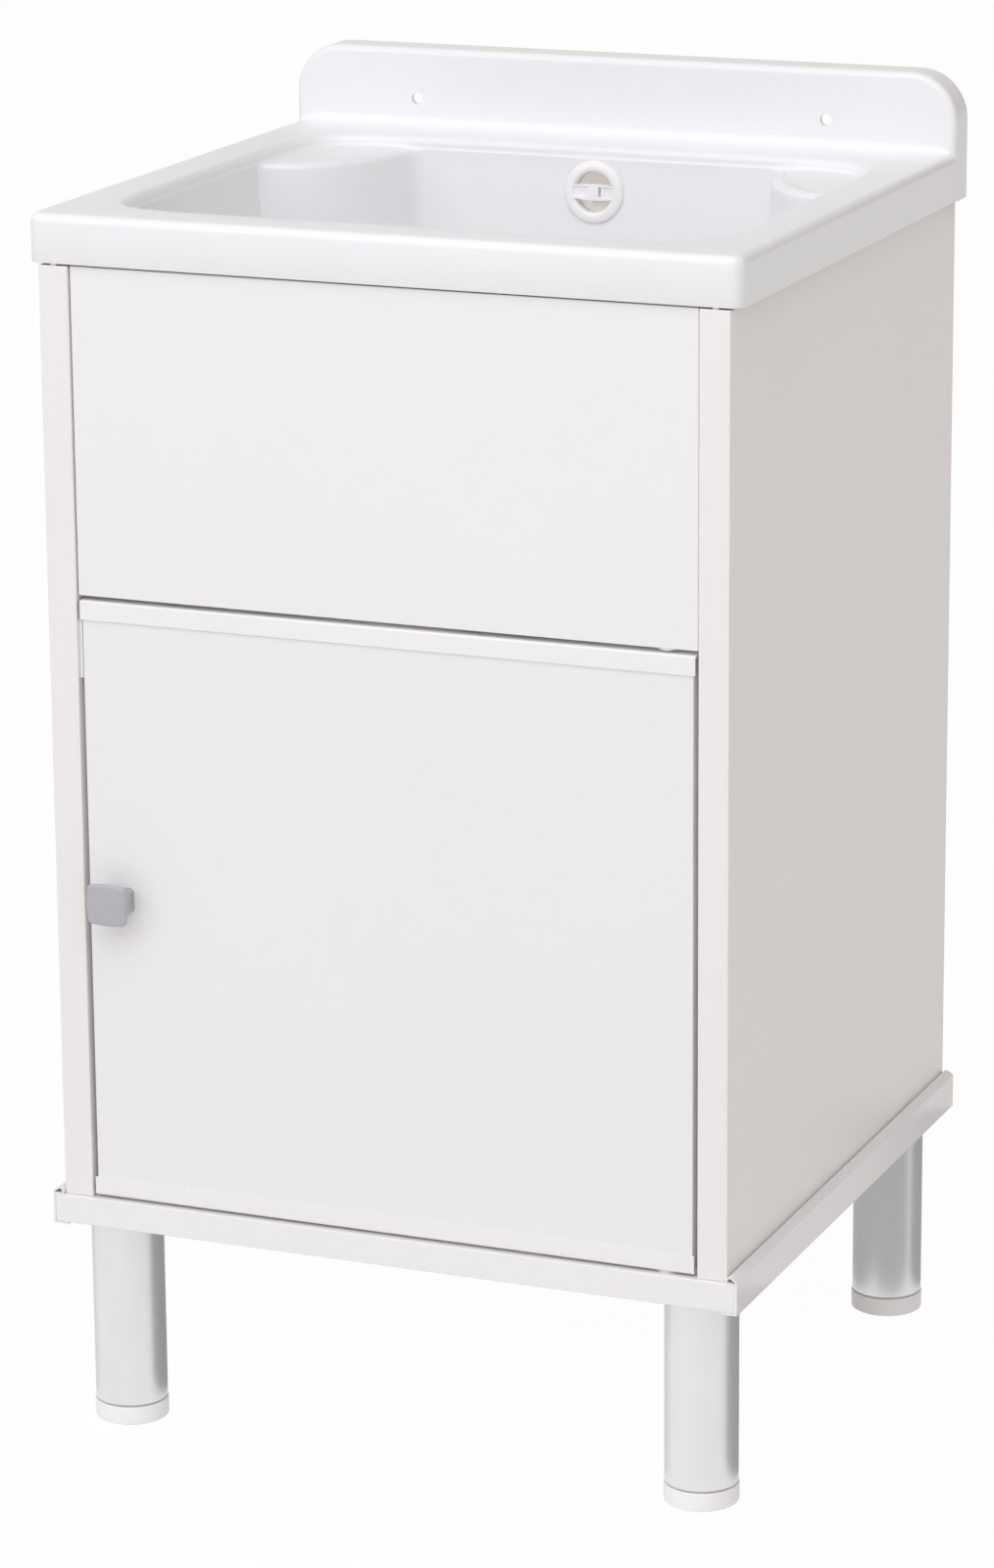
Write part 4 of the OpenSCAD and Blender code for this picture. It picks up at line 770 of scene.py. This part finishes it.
# %% The elbow's plastic
def chamber_plastic():
    """White plastic that glows where its distance from the overflow's axis is under the bore's: painted
    light.
    """
    finish, shader, place = new_finish("pipe_plastic_painted_glow", (0.90, 0.90, 0.885), 0.36, ior=1.49,
                                       emission_strength=1.0)
    cloud = noise(place, 30.0, 3.0)
    feed(shader, "Base Color", tinted(place, cloud, (0.87, 0.87, 0.855), (0.92, 0.92, 0.905)))
    radius = distance(place, (0, 0, OVER_Z * MM), (1.0, 0.0, 1.0))
    # Painted glow: the bore's wall emits a warm grey in place of the light that gets through the thin white
    # wall
    inside = radius.between(0.0163, 0.0158) * (0.85 + cloud * 0.3)
    feed(shader, "Emission Color", tinted(place, inside, (0, 0, 0), (0.155, 0.137, 0.13)))
    return finish


print("overflow's axis at %.0f mm above the floor" % OVER_Z)

# %% The overflow's elbow and the waste's flange
# Behind the gasket lie the elbow's flange and its barrel, and below them a collar and a spigot
flange = sleeve(14, 21, -BACK - 3, -BACK, 0.5)
barrel = rounded([(0, -BACK - 24), (17, -BACK - 24), (17, -BACK), (15, -BACK),
                  (15, -BACK - 11), (0, -BACK - 11)], [0, 2.5, 0.3, 0.3, 1, 0], 4)
spigot = sleeve(6, 8, HOSE_TOP - 22, HOSE_TOP + 4, 0.4)
collar = sleeve(6, 11.5, HOSE_TOP + 0.3, OVER_Z - 8, 0.5)
elbow = make_piece("overflow_elbow_moulding",
                   [placed(turned(profile), **OVERFLOW) for profile in (flange, barrel)] +
                   [placed(turned(profile), at=(0, HOSE_Y, 0)) for profile in (spigot, collar)])
dress(elbow, chamber_plastic(), stands_for=["overflow_elbow"])


def upright(profile, z=0.0, tilt=0.0, **grip):
    """A profile turned about the bowl's upright axis, with its own zero at the height z."""
    return placed(turned(profile, **grip), tilt, (0, BOWL_Y, z))


neck = rounded([(23.7, -7), (25.7, -7), (25.7, 0.02), (38, 0.02), (38, 0.9), (35, 2.2),
                (29, 2.5), (25.7, 1.6), (24.2, 0.8), (0, 0.9), (0, -0.9), (23.7, -0.9)],
               [0.3, 0.3, 0, 0, 0.6, 1.5, 2, 2, 1, 0, 0, 0.3], 4)
strainer = make_piece("strainer", [upright(neck, SEAT_Z, sides=96)])
DRAIN_R, DRAIN_AT = 4.6, 16.0
holes = [plug(DRAIN_R, -3, 3, at=(DRAIN_AT * cos(t), BOWL_Y + DRAIN_AT * sin(t), SEAT_Z))
         for t in np.radians(np.arange(0, 360, 45))]
drilled(strainer, holes)
waste_flange = joined("waste_strainer", [strainer])
dress(waste_flange, STEEL_FINISH, stands_for=["waste_flange"])
print("waste flange:", len(waste_flange.data.polygons), "faces")

# %% [markdown]
# ## The trap
# Every fitting of the trap is turned about an upright or a level axis. The union nuts and the cup's
# collar carry grips: twelve rounded ribs, made by adding a bump to the radius wherever it is large
# enough to be the outside.

# %% Turned fittings of the waste and the trap
GRIP = {"ribs": 12, "rib": 1.6}
NUT_LIP, NUT_H, NUT_GAP = 5.0, 22.0, 0.3
TAIL_R, THREAD_R, OUTLET_R, OUTLET_THREAD_R = 16.0, 20.0, 20.0, 24.0
BODY_TOP = SEAT_Z - TUB_WALL - 3
THREAD_FOOT = BODY_TOP - 44 - 20
NECK_TOP = THREAD_FOOT - 22
SHOULDER = NECK_TOP - 22
OUTLET_Z = SHOULDER - 24 - 2
BODY_FOOT = OUTLET_Z - 24 - 4
CUP_FOOT = BODY_FOOT - 66
NECK_Y = BOWL_Y + 34 + 24


def nut(thread, pipe):
    """Slip nut with its lip at height 0, open at the top."""
    return rounded([(pipe + NUT_GAP, 0), (thread + 3.5, 0), (thread + 3.5, NUT_H), (thread + 0.2, NUT_H),
                    (thread + 0.2, NUT_LIP), (pipe + NUT_GAP, NUT_LIP)], [0.5, 1.2, 1.0, 0.4, 0.4, 0.4], 4)


def to_wall(profile, z, y=BOWL_Y):
    """A profile turned about a level axis that runs to the wall, with its own zero at the depth y."""
    return placed(turned(profile), -90, (0, y, z))


def fitting(name, shapes, node):
    """White pipe fitting from its shapes, which stands for one node."""
    return dress(make_piece(name, shapes), PIPE_FINISH, stands_for=[node])


body = rounded([(38, -4), (38, 0), (26.5, 0), (26.5, -41.5), (14, -41.5), (14, -49),
                (16.2, -49), (16.2, -64), (20, -64), (20, -44), (30, -44), (30, -4)],
               [0.8, 0.6, 0.5, 1.5, 0.3, 0.3, 0.3, 0.5, 0.8, 1, 2, 1], 4)
inlet = sleeve(6, 8, 27, 51.9, 0.4)
fitting("waste_cup", [upright(body, BODY_TOP), to_wall(inlet, INLET_Z)], "waste_body")
tail = sleeve(14.2, TAIL_R, CUP_FOOT + 16, THREAD_FOOT + 15, 0.4)
fitting("tail_tube", [upright(tail)], "tailpipe")
tail_nut, outlet_nut = nut(THREAD_R, TAIL_R), nut(OUTLET_THREAD_R, OUTLET_R)
SET_OFF = NUT_LIP + NUT_GAP
fitting("upper_union_nut", [upright(tail_nut, THREAD_FOOT - SET_OFF, **GRIP)], "tailpipe_nut")
fitting("inlet_union_nut", [upright(tail_nut, NECK_TOP + SET_OFF, 180, **GRIP)], "trap_inlet_nut")
fitting("outlet_union_nut", [placed(turned(outlet_nut, **GRIP), 90, (0, NECK_Y + SET_OFF, OUTLET_Z))],
        "trap_outlet_nut")
shell = rounded([(28, BODY_FOOT - 14), (31, BODY_FOOT - 14), (31, BODY_FOOT), (34, BODY_FOOT),
                 (34, SHOULDER - 6), (28, SHOULDER), (20, SHOULDER), (20, NECK_TOP), (16.2, NECK_TOP),
                 (16.2, SHOULDER - 9), (28, SHOULDER - 9)], [0.4, 0.5, 0, 1, 3, 3, 1.5, 0.6, 0.4, 0, 1], 4)
branch = sleeve(20.3, OUTLET_THREAD_R, 30, NECK_Y - BOWL_Y, [0, 0, 0.6, 0.4], 4)
fitting("trap_housing", [upright(shell), to_wall(branch, OUTLET_Z)], "trap_body")
cup = rounded([(0, 0), (22, 0), (30, 3), (34, 12), (34, 52), (37, 52), (37, 66), (31.1, 66), (31.1, 51),
               (28, 51), (28, 12), (20, 4), (0, 4)], [0, 3, 6, 8, 0.8, 0.8, 1.2, 0.4, 0.4, 0.4, 5, 3, 0], 5)
hexagon = sleeve(0, 11, -5, 1, [0, 0.8, 0, 0], 4)
fitting("trap_bottle", [upright(cup, CUP_FOOT, ribs=12, rib=1.4, rib_from=36.5),
                        upright(hexagon, CUP_FOOT, sides=6)], "trap_cup")
start, bead = BOWL_Y + 38.3, NECK_Y + 5.6
pipe = rounded([(18.2, start), (19.7, start), (19.7, bead), (21.5, bead), (21.5, bead + 4),
                (OUTLET_R, bead + 4), (OUTLET_R, BACK_Y), (18.2, BACK_Y)],
               [0.4, 0.5, 0.4, 1.0, 1.0, 0.4, 0.5, 0.4], 4)
fitting("outlet_tube", [to_wall(pipe, OUTLET_Z, 0)], "trap_outlet_pipe")
print("trap from %.0f to %.0f mm above the floor" % (CUP_FOOT - 5, NECK_TOP))

# %% [markdown]
# ## The cabinet's panels
# The panels are hollow, with webs between two skins, and their ends stay open behind the joints. So
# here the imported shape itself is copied, its flat triangles are merged, and only the long outer
# edges are softened, as an extrusion's are. A bevel that follows weights does that.

# %% Copies of the solids with softened outer edges
def softened(name, node, width, finish, every_edge=False, body="cabinet"):
    """A merged copy of a node; bevels the edges of its box, or every sharp edge."""
    form = bmesh.new()
    form.from_mesh(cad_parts[node].data)
    bmesh.ops.remove_doubles(form, verts=form.verts, dist=2e-6)
    flat = radians(0.5)
    bmesh.ops.dissolve_limit(form, angle_limit=flat, verts=form.verts, edges=form.edges)
    low, high = (np.array(corner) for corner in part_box(node))
    weight = form.edges.layers.float.new("bevel_weight_edge")
    for edge in form.edges:
        ends = np.array([vertex.co for vertex in edge.verts])
        on_box = (np.abs(ends - low) < 2e-5) | (np.abs(ends - high) < 2e-5)
        corner_line = on_box.all(axis=0).sum() >= 2
        sharp = len(edge.link_faces) == 2 and edge.calc_face_angle(0) > radians(40)
        edge[weight] = 1.0 if sharp and (corner_line or every_edge) else 0.0
    mesh = bpy.data.meshes.new(name)
    form.to_mesh(mesh)
    form.free()
    piece = finished(name, mesh, 30.0)
    bevel = piece.modifiers.new("soft edges", "BEVEL")
    bevel.limit_method, bevel.width, bevel.segments = "WEIGHT", width * MM, 3
    bevel.harden_normals = True
    return dress(piece, finish, [node], body)


for name, node, width, finish in [
        ("left_panel", "left_side_panel", 0.9, SHADED_SIDE_FINISH),
        ("right_panel", "right_side_panel", 0.9, SHADED_SIDE_FINISH),
        ("fascia", "front_fascia", 0.8, FASCIA_FINISH),
        ("upper_rail", "upper_rear_rail", 0.6, FASCIA_FINISH),
        ("lower_rail", "lower_rear_rail", 0.6, FASCIA_FINISH),
        ("floor_panel", "base_panel", 0.8, BASE_FINISH),
        ("left_trim", "base_left_cap", 0.5, TRIM_FINISH),
        ("right_trim", "base_right_cap", 0.5, TRIM_FINISH)]:
    softened(name, node, width, finish)
for name, node, finish in [
        ("door_leaf", "door_panel", DOOR_FINISH),
        ("door_head", "door_top_cap", CAP_FINISH),
        ("door_sill", "door_bottom_cap", CAP_FINISH)]:
    softened(name, node, 0.5, finish, body="door")
for name, node, width in [("brackets", "corner_brackets", 0.3), ("catch_block", "catch_body", 0.5)]:
    softened(name, node, width, FITTING_FINISH, every_edge=True)

# %% [markdown]
# ## The knob
# The knob is a square pad: seen from the front, a superellipse with a power of twelve whose sides
# bulge a little. Its face swells slightly and its rim rolls back. The stem behind it is narrower
# and has corners of three millimetres.

# %% Knob pad and stem
KNOB_X, KNOB_Z, KNOB_W, KNOB_H, KNOB_OUT = -196.2, 385.5, 29.5, 29.0, 20.0
STEM_W, STEM_H, STEM_R = 24, 17, 3
DOOR_FRONT = FRONT_Y + 1.5
FACE_Y = DOOR_FRONT - KNOB_OUT


def pad_ring(inset, y, bulge=0.06):
    """One ring of the pad; its points crowd towards the corners."""
    t = np.linspace(0, 2 * pi, 128, endpoint=False) + pi / 128
    t = t + 0.21 * np.sin(4 * t)
    a, b = KNOB_W / 2 - inset, KNOB_H / 2 - inset
    r = superellipse(t, a, b, 12)
    x, z = r * np.cos(t), r * np.sin(t)
    x, z = x * (1 - bulge * (z / b) ** 2), z * (1 - bulge * (x / a) ** 2)
    return np.stack([KNOB_X + x, np.full_like(t, FACE_Y + y), KNOB_Z + z], axis=-1)


swell = [pad_ring(14.0 * s, 0.35 * (1 - s) ** 2) for s in (0.99, 0.8, 0.6, 0.4, 0.25)]
roll = [pad_ring(inset, 0.25 + along) for inset, along in quarter_round(2.2, 7)]
heel = [pad_ring(0.8 * (1 - cos(t)), 3.7 + 0.8 * sin(t)) for t in quarter(4)]
pad = loft(np.array(swell + roll + heel + [pad_ring(12, 4.5)]), caps=True)


def stem_ring(inset, y):
    """A rounded rectangle, drawn in from the stem's outline by an inset."""
    ring = rectangle_ring(STEM_W - 2 * inset, STEM_H - 2 * inset, STEM_R - inset, 8, 4)
    return np.column_stack([KNOB_X + ring[:, 0], np.full(len(ring), FACE_Y + y), KNOB_Z + ring[:, 1]])


stem = loft(np.array([stem_ring(0, 4.2), stem_ring(0, 19.5), stem_ring(0.4, 19.99)]), caps=True)
knob = make_piece("knob", [pad, stem], sharp=40)
dress(knob, KNOB_FINISH, body="door", stands_for=["door_knob"])
print("knob: %.1f mm proud of the door" % (DOOR_FRONT - FACE_Y))

# %% [markdown]
# ## Legs and feet
# Four tubes stand on adjustable feet. The thin dark line just above each foot is the groove between
# the two, and it shows in the photograph, so it is left open here.

# %% Four legs
LEG_H, LEG_R, LEG_WALL, LEG_X, LEG_SET_IN = 149.5, 25.0, 1.5, 212.0, 34.0
FOOT_H, FOOT_R, GROOVE, SCREW_R, SCREW_UP = 13.0, 25.6, 1.2, 5.0, 34.0
TUBE_FOOT, BORE_R = FOOT_H + GROOVE, LEG_R - LEG_WALL
tube = sleeve(BORE_R, LEG_R, TUBE_FOOT, LEG_H, [0.4, 0.5, 0, 0], 4)
disc = sleeve(0, FOOT_R, 0, FOOT_H, [0, 1.5, 1.0, 0], 5)
screw = sleeve(0, SCREW_R, FOOT_H - 1, TUBE_FOOT + SCREW_UP, [0, 0, 0.8, 0])
for row, y in [("front", FRONT_Y + LEG_SET_IN), ("rear", BACK_Y - LEG_SET_IN)]:
    for side, x in [("_left", -LEG_X), ("_right", LEG_X)]:
        place = row + side
        leg_shape, *glide_shapes = [placed(turned(p, sides=96), at=(x, y, 0)) for p in (tube, disc, screw)]
        leg = make_piece("leg_" + place, [leg_shape])
        dress(leg, LEG_FINISH, stands_for=["leg_tube_" + place])
        glide = make_piece("glide_" + place, glide_shapes)
        dress(glide, FOOT_FINISH, body="foot_" + place, stands_for=["foot_" + place])
print("legs:", LEG_H, "mm")

# %% [markdown]
# ## Small fittings
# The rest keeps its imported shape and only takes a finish: screws, bolts, pins, bushes, gaskets, and
# the plugs inside the legs.

# %% Finishes for the solids that stay
kept = {"overflow_screw": STEEL_FINISH, "waste_screw": STEEL_FINISH, "overflow_gasket": RUBBER_FINISH,
        "waste_gasket": RUBBER_FINISH, "catch_magnet": MAGNET_FINISH}
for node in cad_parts:
    if node.startswith(("leg_socket", "leg_insert")) or node.endswith("pivot_bush"):
        kept[node] = FITTING_FINISH
    elif node.endswith("pivot_pin") or node in ("bracket_screws", "knob_screw", "leg_bolts", "catch_strike"):
        kept[node] = ZINC_FINISH
for node, finish in kept.items():
    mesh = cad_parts[node].data
    mesh.materials.clear()
    mesh.materials.append(finish)
shown = [node for node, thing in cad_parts.items() if not thing.hide_render]
print("solids shown as they are:", len(shown), "without a finish:", sorted(set(shown) - set(kept)))

# %% [markdown]
# ## Floor, light and camera
# The photograph is a catalogue cut-out: white all round, light that comes mostly from the front and
# above, and a right side that is darker than the front. So the world gives three answers. The camera
# sees it plain white. Matt surfaces get more light from the front than from behind, and mirrors see
# it darken to the right and the rear, which draws the glossy edges. Three lamps do the rest. The
# floor glows white to the camera and in mirrors, and still takes a little of the real shadow.

# %% World and floor
def ray(tree, kind):
    """1 for the rays of one kind, such as Camera or Glossy, and 0 for all others."""
    return Wire(tree, None).node("LightPath", output="Is %s Ray" % kind)


scene = bpy.context.scene
scene.view_settings.view_transform = "Standard"
world = bpy.data.worlds.new("white_room")
scene.world = world
world.use_nodes = True
sky = world.node_tree
sky.nodes.clear()
seen, shiny, clear = (ray(sky, kind) for kind in ("Camera", "Glossy", "Transmission"))
hidden = seen.maths("MAXIMUM", seen, clear)
way = seen.node("TexCoord", output="Generated")
to_right = way.node("SeparateXYZ", None, {0: way}, output="X")
to_rear = way.node("SeparateXYZ", None, {0: way}, output="Y")
mirror = 1.25 - (to_right * 0.9 + to_rear * 0.45).between(-0.5, 0.8) * 1.05
soft = 0.80 - to_rear.between(-0.25, 0.6) * 0.58
level = (soft * (1 - shiny) + mirror * shiny) * (1 - hidden) + hidden
shade = tinted(seen, hidden, (1.0, 0.95, 0.90), (1.0, 1.0, 1.0))
back = level.node("Background", None, {"Color": shade, "Strength": level})
target = sky.nodes.new("ShaderNodeOutputWorld")
sky.links.new(back.socket, target.inputs["Surface"])

# The floor lies 0.3 mm low, so that it and the feet's undersides don't share a plane
bpy.ops.mesh.primitive_plane_add(size=40, location=(0, 0, -0.0003))
ground = bpy.context.object
ground.name = "ground"
paint = bpy.data.materials.new("white_ground")
paint.use_nodes = True
tree = paint.node_tree
tree.nodes.clear()
diffuse = Wire(tree, None).node("BsdfDiffuse", None, {"Color": (0.9, 0.9, 0.9, 1)})
glow = diffuse.node("Emission", None, {"Color": (1, 1, 1, 1), "Strength": 1.0})
camera_ray, mirror_ray = ray(tree, "Camera"), ray(tree, "Glossy")
glowing = camera_ray.maths("MAXIMUM", camera_ray, mirror_ray) * 0.97
mixed = diffuse.node("MixShader", None, {0: glowing, 1: diffuse, 2: glow})
output = tree.nodes.new("ShaderNodeOutputMaterial")
tree.links.new(mixed.socket, output.inputs["Surface"])
ground.data.materials.append(paint)
print("floor is", ground.dimensions.x, "m across")

# %% [markdown]
# A photographer who wants a darker edge on a shiny tube stands a grey card beside it. Here each leg
# has a mid grey one at its right and rear. The front legs have a light one at their left too, and
# the right rear leg has two more, because it stands in the cabinet's shade. Each card glows with its
# own grey, so that no lamp changes it. Only mirror rays meet the cards: no camera and no shadow does.

# %% Cards beside the legs
def card(name, leg, bearing, width, tone, away=0.05, height=0.145):
    """Upright card beside a leg, which it faces; bearing is in degrees from the x axis."""
    t = radians(bearing)
    across, up = Vector((-sin(t), cos(t), 0)) * width / 2, Vector((0, 0, height))
    middle = Vector((leg[0] + cos(t) * away, leg[1] + sin(t) * away, 0.002))
    mesh = bpy.data.meshes.new(name)
    corners = [middle - across, middle + across, middle + across + up, middle - across + up]
    mesh.from_pydata([tuple(corner) for corner in corners], [], [(0, 1, 2, 3)])
    glow = {"emission_color": (tone, tone, tone, 1), "emission_strength": 1.0}
    grey, _, _ = new_finish(name, (0, 0, 0), 0.5, **glow)
    thing = linked(name, mesh)
    mesh.materials.append(grey)
    thing.visible_camera = thing.visible_diffuse = False
    thing.visible_shadow = thing.visible_transmission = False


# The legs' middles in metres, to about a millimetre; then bearing, width and grey of each card
LEFT, RIGHT, FRONT, REAR = -0.212, 0.212, -0.187, 0.205
for name, leg, bearing, width, tone in [
        ("front_left_card", (LEFT, FRONT), 45, 0.10, 0.30),
        ("front_right_card", (RIGHT, FRONT), 45, 0.10, 0.33),
        ("rear_left_edge_card", (LEFT, REAR), 45, 0.10, 0.33),
        ("front_left_edge_card", (LEFT, FRONT), 158, 0.06, 0.75),
        ("front_right_edge_card", (RIGHT, FRONT), 158, 0.06, 0.72),
        ("rear_right_card", (RIGHT, REAR), 45, 0.10, 0.36),
        ("rear_front_card", (RIGHT, REAR), -60, 0.13, 0.44),
        ("rear_left_card", (RIGHT, REAR), -160, 0.13, 0.46)]:
    card(name, leg, bearing, width, tone)


# %% Lamps
def lamp(name, place, aim, size, power, colour):
    """Rectangular lamp at a place, turned towards a point; its power is in watts."""
    light = bpy.data.lights.new(name, "AREA")
    light.shape, light.size, light.size_y = "RECTANGLE", size[0], size[1]
    light.energy, light.color = power, colour
    thing = linked(name, light)
    thing.location = place
    thing.rotation_euler = (Vector(aim) - Vector(place)).to_track_quat("-Z", "Y").to_euler()


lamp("left_softbox", (-2.1, -3.0, 2.3), (0, 0, 0.5), (0.9, 0.9), 8.5, (0.68, 0.78, 1.0))
lamp("front_softbox", (-0.9, -3.2, 2.4), (0, 0, 0.6), (1.6, 1.2), 6.5, (0.84, 0.92, 1.0))
lamp("top_softbox", (0.3, -1.75, 3.05), (0, 0, 0.6), (2.4, 2.0), 29.0, (0.87, 0.91, 1.0))
print("lamps:", len(bpy.data.lights))

# %% [markdown]
# ## The camera
# A camera was fitted to the cabinet's straight edges in the photograph, with the rim's height as the
# one known length. Its place, its three turns and its long lens come from that fit.

# %% Camera, fitted to the photograph's edges
yaw, pitch, tip = 0.3921, -0.2688, -0.0078
forward = Vector((-sin(yaw) * cos(pitch), cos(yaw) * cos(pitch), sin(pitch)))
level_right = Vector((cos(yaw), sin(yaw), 0))
above = level_right.cross(forward)
turned_right = cos(tip) * level_right + sin(tip) * above
turned_up = cos(tip) * above - sin(tip) * level_right
lens = bpy.data.cameras.new("camera")
lens.lens, lens.sensor_width, lens.sensor_fit = 200.09, 36.0, "HORIZONTAL"
lens.clip_start, lens.clip_end = 0.1, 100
camera = linked("camera", lens)
camera.matrix_world = Matrix((turned_right, turned_up, -forward)).transposed().to_4x4()
camera.location = (1.4068, -3.42505, 1.4486)
scene.camera = camera
print("camera looks down by %.1f degrees" % degrees(-pitch))
